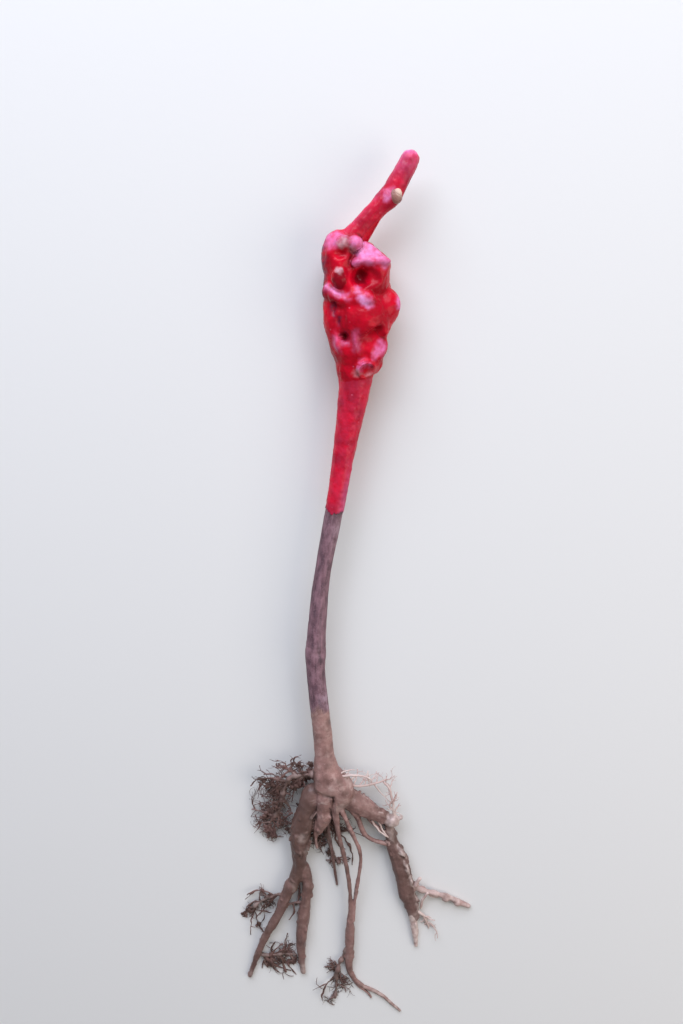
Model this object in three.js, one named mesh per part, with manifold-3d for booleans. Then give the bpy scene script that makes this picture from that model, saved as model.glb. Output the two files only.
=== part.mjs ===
// A young grafted grapevine, lifted with bare roots and laid down on its side. A rootstock cane
// carries a swollen graft union at one end and its roots at the other. The union, the neck of the
// cane below it and the pruned scion spur above it have been dipped in grafting wax.
//
// Millimetres. +Z is up and the ground is Z = 0. +Y runs from the roots to the spur's tip. Limbs
// and lumps are placed from the crown, where the cane ends and the roots begin: across (X),
// forward (Y), and their height above the ground. Headings are degrees from +X in plan.

import * as THREE from "three";
import { mergeVertices } from "three/addons/utils/BufferGeometryUtils.js";
import Module from "manifold-3d";

const wasm = await Module();
wasm.setup();

const { degToRad, lerp, clamp } = THREE.MathUtils;

// Driving sizes
const CROWN = { x: -17, y: -78 }; // puts the middle of the whole vine over the origin
const CANE_LENGTH = 198; // crown to the foot of the graft union
const BARE_LENGTH = 140; // crown to the lower edge of the wax
const HEEL = 3; // how far the cane goes on below the crown
const CANE_HEIGHT = 12; // cane's axis above the ground, at the crown
const UNION_HEIGHT = 13.2; // the same at the union, which lies on the ground
const CLEAR = 0.3; // gap that each solid keeps to the ones it meets
const FLOOR_GAP = 0.05; // what lies on the ground stays this far above Z = 0
const SPUR_SINK = 7; // how far the spur's foot starts inside the union

// How finely shapes are cut into faces
const ROUTE_STEPS = 48;
const FRAME_STEPS = 200;
const LUMP_SEGMENTS = [12, 8];
const ROUND_STEPS = 3;

// Colours, roughness
const FINISHES = {
  wax: new THREE.MeshStandardMaterial({ color: 0xc31431, roughness: 0.32 }),
  bark: new THREE.MeshStandardMaterial({ color: 0x6f5a55, roughness: 0.85 }),
  root: new THREE.MeshStandardMaterial({ color: 0x9a7768, roughness: 0.7 }),
  rootlet: new THREE.MeshStandardMaterial({ color: 0xa9826f, roughness: 0.75 }),
  bud: new THREE.MeshStandardMaterial({ color: 0x8a6a4e, roughness: 0.6 }),
};

// Small helpers

// The value at a share t along a list of evenly spaced values.
function along(values, t) {
  const place = clamp(t, 0, 1) * (values.length - 1);
  const i = Math.min(Math.floor(place), values.length - 2);
  return values.length === 1 ? values[0] : lerp(values[i], values[i + 1], place - i);
}

// A seeded generator of numbers from 0 to 1.
function seeded(seed) {
  let state = seed;
  return () => {
    state = (state * 1664525 + 1013904223) % 4294967296;
    return state / 4294967296;
  };
}

// The middle line of a limb: it sets off at start and turns through headings while its height goes
// through heights. All lists are spread evenly over its length. It is held up off the ground by
// its own radius.
function route({ start, length, headings, heights, radii, lift = 1 }) {
  const step = length / ROUTE_STEPS;
  const at = new THREE.Vector3(CROWN.x + start[0], CROWN.y + start[1], 0);
  const points = [];
  for (let i = 0; i <= ROUTE_STEPS; i++) {
    const share = i / ROUTE_STEPS;
    at.z = Math.max(along(heights, share), along(radii, share) * lift + FLOOR_GAP);
    points.push(at.clone());
    const heading = degToRad(along(headings, share + 0.5 / ROUTE_STEPS));
    at.x += step * Math.cos(heading);
    at.y += step * Math.sin(heading);
  }
  return points;
}

// A closed geometry as a solid that can be joined and cut. The poles of turned shapes leave
// triangles with no area, which are dropped.
function solidOf(geometry) {
  const bare = geometry.clone();
  bare.deleteAttribute("normal");
  bare.deleteAttribute("uv");
  const merged = mergeVertices(bare, 1e-4);
  const corners = merged.index.array;
  const kept = [];
  for (let i = 0; i < corners.length; i += 3) {
    const [a, b, c] = corners.slice(i, i + 3);
    if (a !== b && b !== c && c !== a) kept.push(a, b, c);
  }
  return new wasm.Manifold(
    new wasm.Mesh({
      numProp: 3,
      vertProperties: new Float32Array(merged.attributes.position.array),
      triVerts: new Uint32Array(kept),
    }),
  );
}

// The largest body of a solid, with loose scraps dropped.
function largest(solid) {
  return solid.decompose().sort((a, b) => b.volume() - a.volume())[0];
}

function joined(solids) {
  return solids.reduce((all, one) => all.add(one));
}

// Whether the boxes of two solids meet.
function near(one, other) {
  const a = one.boundingBox();
  const b = other.boundingBox();
  return [0, 1, 2].every((k) => a.min[k] <= b.max[k] && b.min[k] <= a.max[k]);
}

// Limbs

// A limb is a profile turned about its own axis and bent along its route. radii run from foot to
// tip, lift flattens it in height, round says which ends are rounded, and grow makes it thicker
// all over.
function limb(spec, grow = 0) {
  const { radii, sides = 7, rings = 14, lift = 1, round = [true, true], roundSteps = ROUND_STEPS } = spec;
  const curve = new THREE.CatmullRomCurve3(spec.points ?? route(spec));
  const length = curve.getLength();
  const [foot, tip] = [radii[0] + grow, radii[radii.length - 1] + grow];
  const footEnd = round[0] ? foot : 0;
  const tipEnd = round[1] ? tip : 0;
  const profile = [];
  for (let i = 0; i < roundSteps; i++) {
    const angle = (Math.PI / 2) * (i / roundSteps);
    if (round[0] || i === 0) {
      profile.push(new THREE.Vector2(foot * Math.sin(angle), footEnd * (1 - Math.cos(angle)) - grow));
    }
  }
  for (let i = 0; i <= rings; i++) {
    const place = lerp(footEnd - grow, length - tipEnd + grow, i / rings);
    profile.push(new THREE.Vector2(along(radii, place / length) + grow, place));
  }
  for (let i = roundSteps - 1; i >= 0; i--) {
    const angle = (Math.PI / 2) * (i / roundSteps);
    if (round[1] || i === 0) {
      const place = length + grow - tipEnd * (1 - Math.cos(angle));
      profile.push(new THREE.Vector2(tip * Math.sin(angle), place));
    }
  }
  return solidOf(bend(new THREE.LatheGeometry(profile, sides), curve, length, lift));
}

// Bends a turned shape, whose axis is Y from 0 to length, along a curve.
function bend(geometry, curve, length, lift) {
  const frames = curve.computeFrenetFrames(FRAME_STEPS, false);
  const position = geometry.attributes.position;
  const at = new THREE.Vector3();
  const out = new THREE.Vector3();
  for (let i = 0; i < position.count; i++) {
    const place = position.getY(i);
    const share = clamp(place / length, 0, 1);
    const k = Math.round(share * FRAME_STEPS);
    out.copy(frames.normals[k]).multiplyScalar(position.getZ(i));
    out.addScaledVector(frames.binormals[k], position.getX(i));
    out.z *= lift;
    curve.getPointAt(share, at);
    at.add(out).addScaledVector(frames.tangents[k], place - share * length);
    position.setXYZ(i, at.x, at.y, at.z);
  }
  return geometry;
}

// The stretch of a route between two distances along it.
function stretch(points, from, to) {
  const curve = new THREE.CatmullRomCurve3(points);
  const length = curve.getLength();
  const count = Math.max(2, Math.round((ROUTE_STEPS * (to - from)) / length));
  return Array.from({ length: count + 1 }, (_, i) => curve.getPointAt(lerp(from, to, i / count) / length));
}

// A lump is an ellipsoid with half sizes half, turned in plan. square under 1 makes it blockier.
function lump({ at, half, turn = 0, square = 1 }, grow = 0) {
  const geometry = new THREE.SphereGeometry(1, ...LUMP_SEGMENTS);
  const position = geometry.attributes.position;
  const blocky = (value) => Math.sign(value) * Math.abs(value) ** square;
  for (let i = 0; i < position.count; i++) {
    const corner = [position.getX(i), position.getY(i), position.getZ(i)].map(blocky);
    position.setXYZ(i, ...corner);
  }
  geometry.scale(...half.map((size) => size + grow));
  geometry.rotateZ(degToRad(turn));
  geometry.translate(CROWN.x + at[0], CROWN.y + at[1], at[2]);
  return solidOf(geometry);
}

// Cane

// The cane's whole axis, from its heel to the foot of the union.
const CANE_ROUTE = route({
  start: [0.1, -HEEL],
  length: CANE_LENGTH + HEEL,
  headings: [91, 93, 96, 95, 86, 84.5, 80, 79, 81.5, 80.5, 81.5],
  heights: [CANE_HEIGHT, CANE_HEIGHT, UNION_HEIGHT],
  radii: [4],
});
const BARE_RADII = [5.6, 5.0, 4.6, 4.5, 4.45, 4.4, 4.3, 4.5, 4.25, 4.1, 3.9, 3.65, 3.7, 3.9, 3.95];
const NECK_RADII = [4.25, 4.3, 4.5, 4.9, 5.5, 6.3, 6.9];

// The flare of the crown: the blunt heel, the flare and the shoulder at its right, the shoulder of
// the left roots, and what the heel lies on.
const CROWN_LUMPS = [
  { at: [-0.3, 5, 12.2], half: [5.2, 6, 5.3], square: 0.6 },
  { at: [6.1, 4.4, 11.4], half: [3.9, 7.6, 4.8], turn: 34 },
  { at: [7.6, -2.6, 11.4], half: [4.5, 7.8, 4.6], turn: -8 },
  { at: [-6.8, -4.8, 9.8], half: [5.4, 7.2, 4.8], turn: -14 },
  { at: [0.2, -3.2, 10.8], half: [5.6, 7.4, 5] },
];

function cane(grow) {
  const points = stretch(CANE_ROUTE, 0, BARE_LENGTH + HEEL - CLEAR / 2);
  const spec = { points, radii: BARE_RADII, sides: 12, rings: 24, round: [true, false] };
  return joined([limb(spec, grow), ...CROWN_LUMPS.map((spec) => lump(spec, grow))]);
}

function neck(grow) {
  const points = stretch(CANE_ROUTE, BARE_LENGTH + HEEL + CLEAR / 2, CANE_LENGTH + HEEL);
  return limb({ points, radii: NECK_RADII, sides: 12, rings: 10, round: [false, false] }, grow);
}

// Graft union

const UNION_LUMPS = [
  { at: [13.2, 203.5, 12.8], half: [8, 10.5, 8.2] }, // foot, on the neck
  { at: [13.8, 213, 13], half: [11.2, 11.5, 10.6] },
  { at: [15.6, 224.5, 13.4], half: [13.6, 13.5, 12.6] }, // belly
  { at: [13.6, 238, 13], half: [13.8, 10.5, 11.2] },
  { at: [6.4, 248.2, 14.6], half: [7.2, 11.8, 8.8], turn: 3 }, // head, which bears the spur
  { at: [19.6, 247.9, 13], half: [8.2, 5.4, 9.4], square: 0.6, turn: -39 }, // block, its far edge
  { at: [19.6, 242.5, 14.2], half: [7.7, 8.2, 9.4], square: 0.72, turn: -6 }, // and its near part
  { at: [26.6, 229.2, 13.8], half: [5.6, 7.4, 6.4] }, // right bump
  { at: [4.4, 225, 15.6], half: [4.6, 13.4, 6.6], turn: 4 }, // left ridge
  { at: [21.2, 211.4, 17.4], half: [5.2, 6.8, 5.2], turn: -25, square: 0.8 }, // lower right facet
  { at: [20.6, 205.6, 15.4], half: [4.4, 5, 5] }, // collar beside the stub
  { at: [11.2, 233, 22.2], half: [9.6, 4.2, 3.8], turn: -6 }, // ledge under the bud
  { at: [8, 219.5, 5.3], half: [6.4, 9.2, 5.2] }, // callus on the underside, left
  { at: [22.4, 235.5, 5.1], half: [6.2, 8.8, 5], turn: 10 }, // and right
  { at: [12.8, 249.4, 8.4], half: [7.4, 6.6, 6.2] },
];
const UNION_HOLLOWS = [
  { at: [15.3, 241.2, 26], half: [3.8, 4.3, 6.6] }, // deep hole between head and block
  { at: [7.2, 235.8, 26], half: [3.2, 1.5, 3], turn: -8 }, // shadow under the bud
  { at: [8.4, 222.8, 27], half: [1.6, 9.4, 3.4], turn: 3 }, // groove beside the left ridge
  { at: [8.7, 216.4, 24.6], half: [2.1, 2.3, 3.4] }, // hole at the groove's foot
  { at: [15.6, 227.5, -0.6], half: [3.2, 9, 3.6], turn: -38 }, // furrow on the underside
];

// The union at its true size, or grown all over. It is closed over the end of the neck.
function union(grow) {
  const body = joined(UNION_LUMPS.map((spec) => lump(spec, grow)));
  return UNION_HOLLOWS.reduce((solid, spec) => solid.subtract(lump(spec, -grow)), body);
}

const UNION_DETAILS = {
  union_bud: { slot: "bud", at: [6.9, 240.9, 22], half: [3.5, 4.5, 3.4] },
  union_knob: { slot: "wax", at: [12.9, 254.6, 20.4], half: [3.3, 3.3, 3.3] },
  union_cut_face: { slot: "bark", at: [8.1, 255, 21.6], half: [3.2, 2.9, 2.2] },
};

// Limbs above the union and the roots below the crown, in the order in which each gives way to the
// ones before it

const LIMBS = {
  pruned_stub: {
    slot: "wax", start: [15.7, 207.1], length: 4.4, headings: [300],
    heights: [14.5, 21.5], radii: [4.3, 4.7, 4.4], rings: 4, sides: 10, round: [true, false],
  },
  scion_spur: {
    slot: "wax", start: [7.7, 253.6], length: 40.4 + SPUR_SINK,
    headings: [44, 44, 45, 46, 47, 46, 45, 47, 61, 63, 62, 64, 67],
    heights: [15, 15.4, 16, 16.4], radii: [4.2, 4.1, 4, 4, 4.2, 4.2, 4, 3.7],
    sides: 9, rings: 14,
  },
  root_left_main: {
    slot: "root", start: [-4.6, -1.6], length: 62, headings: [244, 250, 256, 268, 270, 250, 256],
    heights: [9.4, 8.2, 6.8, 5.5, 4.5], radii: [4.6, 5.0, 5.6, 4.7, 3.4, 2.9, 2.7], lift: 0.84, sides: 9,
    rings: 16,
  },
  root_right_main: {
    slot: "root", start: [6.1, -1.5], length: 35.3, headings: [320, 323, 328, 329],
    heights: [10.4, 9.2, 7.8, 7], radii: [4.4, 5, 5.2, 4.6, 3.5, 2.5, 3.4], lift: 0.84, sides: 9, rings: 12,
  },
  root_front_main: {
    slot: "root", start: [-0.6, 1], length: 38, headings: [269, 268, 262, 248, 264, 288],
    heights: [11.4, 11.2, 9.8, 7.4, 5.4], radii: [4.3, 4.4, 4.3, 3, 0.9, 0.7],
  },
  root_left_outer: {
    slot: "root", start: [-17.7, -54.8], length: 65, headings: [256, 252, 244, 244, 250, 252, 253],
    heights: [4.6, 3.4, 0], radii: [2.9, 2.7, 2.3, 1.8, 1.5, 1.1],
  },
  root_left_inner: {
    slot: "root", start: [-12.6, -45], length: 69, headings: [300, 274, 262, 262, 265, 268, 272, 278],
    heights: [5, 3.8, 3, 0], radii: [2.8, 2.5, 2.6, 3.1, 2.7, 1.8, 1.3],
  },
  root_right_lower: {
    slot: "root", start: [30.6, -19], length: 63, headings: [275, 279, 290, 286, 280, 284, 286, 290],
    heights: [6.4, 5, 4, 3.4, 0], radii: [1.7, 2.2, 3.7, 4.3, 4.3, 4, 3.5, 2.2], lift: 0.72,
  },
  root_right_branch: {
    slot: "root", start: [40.4, -56], length: 37.5,
    headings: [321, 321, 334, 345, 338, 332, 330, 334, 336],
    heights: [4, 3, 0], radii: [1.6, 1.1, 1.5, 1.1, 1.4, 1.1, 1.6, 1.2, 1.6, 1.2, 1.2], rings: 14, sides: 6,
    round: [true, false],
  },
  root_right_tip: {
    slot: "root", start: [43.2, -73.6], length: 23.7, headings: [280, 274], heights: [2.4, 0],
    radii: [1.9, 1.8, 1.5, 1], rings: 7, sides: 7,
  },
  root_right_inner: {
    slot: "root", start: [9.6, -5.6], length: 37, headings: [298, 298, 296, 286, 288, 318, 338, 342],
    heights: [11, 9.4, 7, 5], radii: [2.2, 1.9, 1.4, 1.2, 1, 1.2], rings: 11, sides: 6,
  },
  root_right_strand: {
    slot: "root", start: [14.4, -8], length: 29, headings: [312, 295, 316, 320],
    heights: [9, 8, 6.2, 5], radii: [1.2, 0.9, 0.8, 1], rings: 10, sides: 6,
  },
  root_middle_long: {
    slot: "root", start: [3.5, 0.6], length: 151,
    headings: [274, 276, 278, 281, 281, 276, 272, 268, 271, 267, 268, 305, 338, 311, 317],
    heights: [14.4, 13.4, 9.2, 5.5, 3.4, 2, 0, 0],
    radii: [2.2, 1.6, 1.1, 1.1, 1, 1, 0.9, 1.3, 2.2, 2.4, 1.9, 1.2, 0.9, 0.75, 0.6],
    rings: 36, sides: 6,
  },
  root_middle_right: {
    slot: "root", start: [5.4, -4], length: 78, headings: [289, 290, 291, 290, 268, 262, 263, 267, 267],
    heights: [13.6, 12.4, 9.8, 7.5, 5.5, 4.2], radii: [1.7, 1, 0.9, 0.9, 0.9, 0.85, 0.8], rings: 18, sides: 6,
  },
  root_middle_left: {
    slot: "root", start: [0, -12], length: 49, headings: [272, 278, 276, 276, 277],
    heights: [9, 6.6, 4, 0], radii: [1.1, 0.8, 0.7, 0.6], rings: 9, sides: 6,
  },
  root_middle_split: {
    slot: "root", start: [11.2, -104], length: 29, headings: [272, 280, 296, 324, 293],
    heights: [1.6, 0], radii: [1, 0.8, 0.5], rings: 10, sides: 6,
  },
  root_back: {
    slot: "root", start: [3.4, -1.4], length: 44, headings: [316, 322, 318, 300],
    heights: [6.2, 3, 0], radii: [2.4, 1.9, 1.5, 1.2], rings: 12, sides: 7,
  },
};

// Fine roots

// Each mass is one stem with side rootlets that leave it by a seeded rule, inside a space of its
// own: lowest and highest across, forward and height.
const FINE_ROOTS = {
  fine_roots_left: {
    seed: 11, start: [-2, 7.2], length: 51, headings: [172, 186, 254, 262, 236, 247],
    heights: [12, 10, 8.4, 6.4, 4.6, 3], radii: [0.8, 0.7, 0.6, 0.45], count: 24, reach: 17,
    space: { low: [-38, -36, 0], high: [0, 15, 17] },
  },
  fine_roots_right_upper: {
    seed: 23, start: [3, 8.2], length: 19, headings: [370, 368, 355, 323], heights: [13, 14.8, 14],
    radii: [0.6, 0.5, 0.4], count: 5, reach: 8, space: { low: [0, -6, 8], high: [30, 16, 20] },
  },
  fine_roots_right: {
    seed: 31, start: [5.6, 4.6], length: 24, headings: [340, 338, 356, 370, 384],
    heights: [13, 11, 9, 8], radii: [0.7, 0.6, 0.5, 0.4], count: 8, reach: 10,
    space: { low: [4, -14, 1], high: [40, 15, 14] },
  },
  fine_roots_right_nub: {
    seed: 43, start: [33.4, -19.4], length: 23.5, headings: [84, 101, 94, 113, 148],
    heights: [7.4, 9, 9, 8], radii: [0.7, 0.55, 0.4], count: 6, reach: 8,
    space: { low: [20, -18, 1], high: [46, 14, 12] },
  },
  fine_roots_right_low: {
    seed: 53, start: [44.4, -72.6], length: 16, headings: [324, 298, 282], heights: [3, 2, 0],
    radii: [0.9, 0.7, 0.4], count: 6, reach: 8, space: { low: [38, -98, 0], high: [64, -60, 8] },
  },
  fine_roots_left_low: {
    seed: 61, start: [-34.8, -100.9], length: 19.5, headings: [323, 380, 352, 349],
    heights: [1.6, 1.4, 0], radii: [0.7, 0.55, 0.4], count: 7, reach: 9,
    space: { low: [-34, -118, 0], high: [-10, -84, 8] },
  },
  fine_roots_left_cross: {
    seed: 64, start: [-22.6, -71], length: 12.5, headings: [9, 12, 42], heights: [2.6, 2.2, 3.4],
    radii: [0.7, 0.6, 0.5], count: 3, reach: 6, space: { low: [-22, -80, 0], high: [-9, -58, 8] },
  },
  fine_roots_left_outer: {
    seed: 67, start: [-20.4, -64], length: 27, headings: [186, 216, 238], heights: [3.2, 2, 0],
    radii: [0.7, 0.5, 0.35], count: 8, reach: 9, space: { low: [-48, -96, 0], high: [-20, -52, 8] },
  },
  fine_roots_middle_end: {
    seed: 71, start: [11, -96.6], length: 34, headings: [240, 252, 272, 262], heights: [2.4, 1.6, 0],
    radii: [0.7, 0.55, 0.4], count: 8, reach: 11, space: { low: [-8, -134, 0], high: [26, -86, 8] },
  },
  fine_roots_back: {
    seed: 83, start: [-0.4, -2.6], length: 46, headings: [262, 270, 284, 300], heights: [6.4, 3, 1.4, 0],
    radii: [1.1, 0.8, 0.6, 0.45], count: 12, reach: 15,
    space: { low: [-12, -52, 0], high: [28, -6, 6.5] },
  },
};
const SIDE_ANGLE = [22, 74]; // degrees between the stem and a side rootlet, least and most
const SIDE_CURL = 120; // degrees that a side rootlet turns over its length, at most
const SIDE_THICKNESS = 0.62; // of the stem's radius where it leaves
const SIDE_STEPS = 3;

// The side rootlets of a mass: each leaves its stem at an even share of its length, to a seeded
// side, and sinks towards the ground. One that would leave the space or touch a limb is skipped.
function sideRootlets(spec, stem, limbs) {
  const random = seeded(spec.seed);
  const rootlets = [];
  for (let i = 0; i < spec.count; i++) {
    const share = (i + 0.8) / (spec.count + 0.3);
    const foot = stem.getPointAt(share);
    const side = random() < 0.5 ? -1 : 1;
    const [angle, curl, size, fall] = [random(), random(), random(), random()];
    const heading = along(spec.headings, share) + side * lerp(...SIDE_ANGLE, angle);
    const radius = along(spec.radii, share) * SIDE_THICKNESS;
    const rootlet = {
      start: [foot.x - CROWN.x, foot.y - CROWN.y],
      length: spec.reach * lerp(0.35, 1, size) * (1 - 0.35 * share),
      headings: [heading, heading, heading + (curl - 0.5) * SIDE_CURL],
      heights: [foot.z, foot.z * lerp(0.25, 1, fall)],
      radii: [radius, radius * 0.6],
      sides: 3, rings: SIDE_STEPS, roundSteps: 1,
    };
    const points = route(rootlet);
    if (points.every((point) => inside(point, spec.space)) && clear(points, radius, limbs)) {
      rootlets.push(rootlet);
    }
  }
  return rootlets;
}

function inside(point, { low, high }) {
  const place = [point.x - CROWN.x, point.y - CROWN.y, point.z];
  return place.every((value, k) => value >= low[k] && value <= high[k]);
}

// Whether a rootlet's points keep clear of every limb, taken as a row of balls.
function clear(points, radius, limbs) {
  return limbs.every((balls) =>
    balls.every((ball) => points.every((point) => point.distanceTo(ball.at) > ball.radius + radius + CLEAR)),
  );
}

function balls(spec) {
  const curve = new THREE.CatmullRomCurve3(spec.points ?? route(spec));
  const count = Math.ceil(curve.getLength() / 1.5);
  return Array.from({ length: count + 1 }, (_, i) => ({
    at: curve.getPointAt(i / count),
    radius: along(spec.radii, i / count),
  }));
}

function fineRoots(spec, limbs) {
  const stem = { ...spec, sides: 4, rings: 11, roundSteps: 1 };
  const curve = new THREE.CatmullRomCurve3(route(stem));
  return joined([limb(stem), ...sideRootlets(spec, curve, limbs).map((rootlet) => limb(rootlet))]);
}

// Buds on the spur's node

const SPUR_BUD = { at: [29.7, 273.3, 19], half: [2.5, 3.3, 2.4], turn: 5 };

// Assembly

const vine = new THREE.Group();
const placed = [];

// Adds a solid as a named mesh, cut clear of the ones already placed. grown is the same shape made
// larger by the clearance, which later solids are cut by.
function place(name, slot, solid, grown) {
  const cutters = placed.filter((other) => near(solid, other));
  const body = largest(cutters.reduce((rest, cutter) => rest.subtract(cutter), solid));
  const { vertProperties, triVerts } = body.getMesh();
  const geometry = new THREE.BufferGeometry();
  geometry.setAttribute("position", new THREE.BufferAttribute(vertProperties, 3));
  geometry.setIndex(new THREE.BufferAttribute(triVerts, 1));
  geometry.computeVertexNormals();
  const mesh = new THREE.Mesh(geometry, FINISHES[slot]);
  mesh.name = name;
  vine.add(mesh);
  placed.push(grown);
}

place("rootstock_cane", "bark", cane(0), cane(CLEAR));
place("waxed_neck", "wax", neck(0), neck(CLEAR));
place("graft_union", "wax", union(0), union(CLEAR));
for (const [name, spec] of Object.entries(UNION_DETAILS)) {
  place(name, spec.slot, lump(spec), lump(spec, CLEAR));
}
for (const [name, spec] of Object.entries(LIMBS)) {
  place(name, spec.slot, limb(spec), limb(spec, CLEAR));
}
place("spur_bud", "bud", lump(SPUR_BUD), lump(SPUR_BUD, CLEAR));

const limbBalls = Object.values(LIMBS).map(balls);
for (const [name, spec] of Object.entries(FINE_ROOTS)) {
  const mass = fineRoots(spec, limbBalls);
  place(name, "rootlet", mass, mass);
}

export default vine;
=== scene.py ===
"""The looks of a young grafted grapevine that lies on its side with bare roots.

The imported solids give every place. Each of them is replaced by a finer surface, worked out with
numpy from the same lengths, headings and radii, in its real material: red grafting wax over the
graft, the bark of the rootstock, and wet clay over crown and roots.

Tables are in millimetres from the crown, where the cane ends and the roots begin: across (X),
forward (Y) and height above the ground (Z). Headings are degrees from +X in plan. Meshes are in
metres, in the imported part's own frame.
"""

import math
from dataclasses import dataclass, replace

import bpy
import numpy as np
from bpy.props import FloatProperty, FloatVectorProperty, PointerProperty
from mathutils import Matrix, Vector


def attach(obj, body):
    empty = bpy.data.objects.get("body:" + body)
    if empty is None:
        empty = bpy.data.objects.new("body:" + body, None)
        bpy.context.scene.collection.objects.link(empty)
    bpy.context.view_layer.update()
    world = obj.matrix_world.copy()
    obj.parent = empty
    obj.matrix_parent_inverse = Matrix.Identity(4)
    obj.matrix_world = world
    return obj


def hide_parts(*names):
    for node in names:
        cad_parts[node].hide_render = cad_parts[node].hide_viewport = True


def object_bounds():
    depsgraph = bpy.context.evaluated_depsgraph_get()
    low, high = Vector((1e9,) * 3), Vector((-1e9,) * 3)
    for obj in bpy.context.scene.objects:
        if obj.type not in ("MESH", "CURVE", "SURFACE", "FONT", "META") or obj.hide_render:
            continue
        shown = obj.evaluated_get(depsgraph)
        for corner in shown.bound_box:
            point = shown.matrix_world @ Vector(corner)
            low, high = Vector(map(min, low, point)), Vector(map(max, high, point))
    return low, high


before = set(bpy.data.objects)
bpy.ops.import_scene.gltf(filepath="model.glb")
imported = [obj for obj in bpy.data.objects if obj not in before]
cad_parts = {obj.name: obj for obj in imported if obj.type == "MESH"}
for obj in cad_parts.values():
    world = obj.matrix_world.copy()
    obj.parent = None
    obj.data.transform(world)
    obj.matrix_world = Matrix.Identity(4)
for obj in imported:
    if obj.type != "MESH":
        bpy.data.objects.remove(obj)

bl_info = {
    "name": "Young grafted grapevine",
    "version": (1, 0, 0),
    "blender": (4, 5, 0),
    "location": "View3D > Sidebar > Grapevine",
    "description": "Builds a bare-root grafted grapevine: wax, bark, clay, roots and a stage",
    "category": "Add Mesh",
}

SOLID_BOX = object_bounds()
MM = 0.001

# Driving sizes, as in the part's source
CROWN = np.array([-17.0, -78.0, 0.0])
CANE_LENGTH = 198
BARE_LENGTH = 140
HEEL = 3  # how far the cane runs on past the place where the roots begin
CANE_HEIGHT = 12
UNION_HEIGHT = 13.2
FLOOR_GAP = 0.05  # what stays free above the ground
CLEAR = 0.3  # between a rootlet and a limb
SPUR_SINK = 7  # how much of the spur is inside the union
ROUTE_STEPS = 48  # in every middle line

BARE_RADII = [5.6, 5.0, 4.6, 4.5, 4.45, 4.4, 4.3, 4.5, 4.25, 4.1, 3.9, 3.65, 3.7, 3.9, 3.95]
NECK_RADII = [4.25, 4.3, 4.5, 4.9, 5.5, 6.3, 6.9]


@dataclass
class Lump:
    """A blocky ellipsoid: its middle, its half sizes and its turn in plan in degrees. square is
    under 1 for a block and over 1 for a spindle, and soft is how widely it runs into what is
    beside it. A spot of colour is as strong as much in its middle, and lilac is how much painted lilac
    sheen it has."""
    at: list
    half: list
    turn: float = 0.0
    square: float = 1.0
    soft: float = 0.0
    much: float = 0.0
    lilac: float = 0.0


@dataclass
class Limb:
    """A tapering limb: where it starts in plan, how long it is, and its headings, heights and
    radii at even shares of that. lift flattens it, and fillet is how widely clay fills its forks."""
    start: list
    length: float
    headings: list
    heights: list
    radii: list
    lift: float = 1.0
    fillet: float = 0.0
    sides: int = 6


@dataclass
class Mass(Limb):
    """The stem of a mass of fine roots. It bears count side rootlets, up to reach long, by a rule
    with a seed of its own, inside the space between the corners low and high."""
    sides: int = 8
    seed: int = 0
    count: int = 0
    reach: float = 0.0
    low: list = None
    high: list = None


# The flare of the crown: the blunt heel, the flare and the shoulder at its right, the shoulder of
# the left roots, and what the heel lies on. The last two meet it in a crease
CROWN_LUMPS = [
    Lump([-0.3, 5, 12.2], [5.2, 6, 5.3], square=0.6, soft=1.6),
    Lump([6.1, 4.4, 11.4], [3.9, 7.6, 4.8], turn=34, soft=7.0),
    Lump([7.6, -2.6, 11.4], [4.5, 7.8, 4.6], turn=-8, soft=7.0),
    Lump([-6.8, -4.8, 9.8], [5.4, 7.2, 4.8], turn=-14, soft=1.8),
    Lump([0.2, -3.2, 10.8], [5.6, 7.4, 5], soft=0.8),
]

UNION_LUMPS = [
    Lump([13.2, 203.5, 12.8], [8, 10.5, 8.2]),  # foot, on the neck
    Lump([13.8, 213, 13], [11.2, 11.5, 10.6]),
    Lump([15.6, 224.5, 13.4], [13.6, 13.5, 12.6]),  # belly
    Lump([13.6, 238, 13], [13.8, 10.5, 11.2]),
    Lump([6.4, 248.2, 14.6], [7.2, 11.8, 8.8], turn=3),  # head, which bears the spur
    Lump([19.6, 247.9, 13], [8.2, 5.4, 9.4], square=0.6, turn=-39),  # block, far edge
    Lump([19.6, 242.5, 14.2], [7.7, 8.2, 9.4], square=0.72, turn=-6),  # and near part
    Lump([26.6, 229.2, 13.8], [5.6, 7.4, 6.4]),  # right bump
    Lump([4.4, 225, 15.6], [4.6, 13.4, 6.6], turn=4),  # left ridge
    Lump([21.2, 211.4, 17.4], [5.2, 6.8, 5.2], turn=-25, square=0.8),
    Lump([20.6, 205.6, 15.4], [4.4, 5, 5]),  # collar beside the stub
    Lump([11.2, 233, 22.2], [9.6, 4.2, 3.8], turn=-6),  # ledge under the bud
    Lump([8, 219.5, 5.3], [6.4, 9.2, 5.2]),  # callus on the underside, left
    Lump([22.4, 235.5, 5.1], [6.2, 8.8, 5], turn=10),  # and right
    Lump([12.8, 249.4, 8.4], [7.4, 6.6, 6.2]),
]
UNION_HOLLOWS = [
    Lump([15.3, 241.2, 26], [3.8, 4.3, 6.6]),  # deep hole between head and block
    Lump([7.2, 235.8, 26], [3.2, 1.5, 3], turn=-8, soft=2.6),  # shadow under the bud
    Lump([8.4, 222.8, 27], [1.6, 9.4, 3.4], turn=3),  # groove beside the ridge
    Lump([8.7, 216.4, 24.6], [2.1, 2.3, 3.4]),  # hole at the groove's foot
    Lump([15.6, 227.5, -0.6], [3.2, 9, 3.6], turn=-38),  # furrow underneath
]
UNION_BUD = Lump([6.9, 240.9, 22], [3.5, 4.5, 3.4])
UNION_KNOB = Lump([12.9, 254.6, 20.4], [3.3, 3.3, 3.3])
UNION_CUT = Lump([8.1, 255, 21.6], [3.2, 2.9, 2.2])
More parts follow.
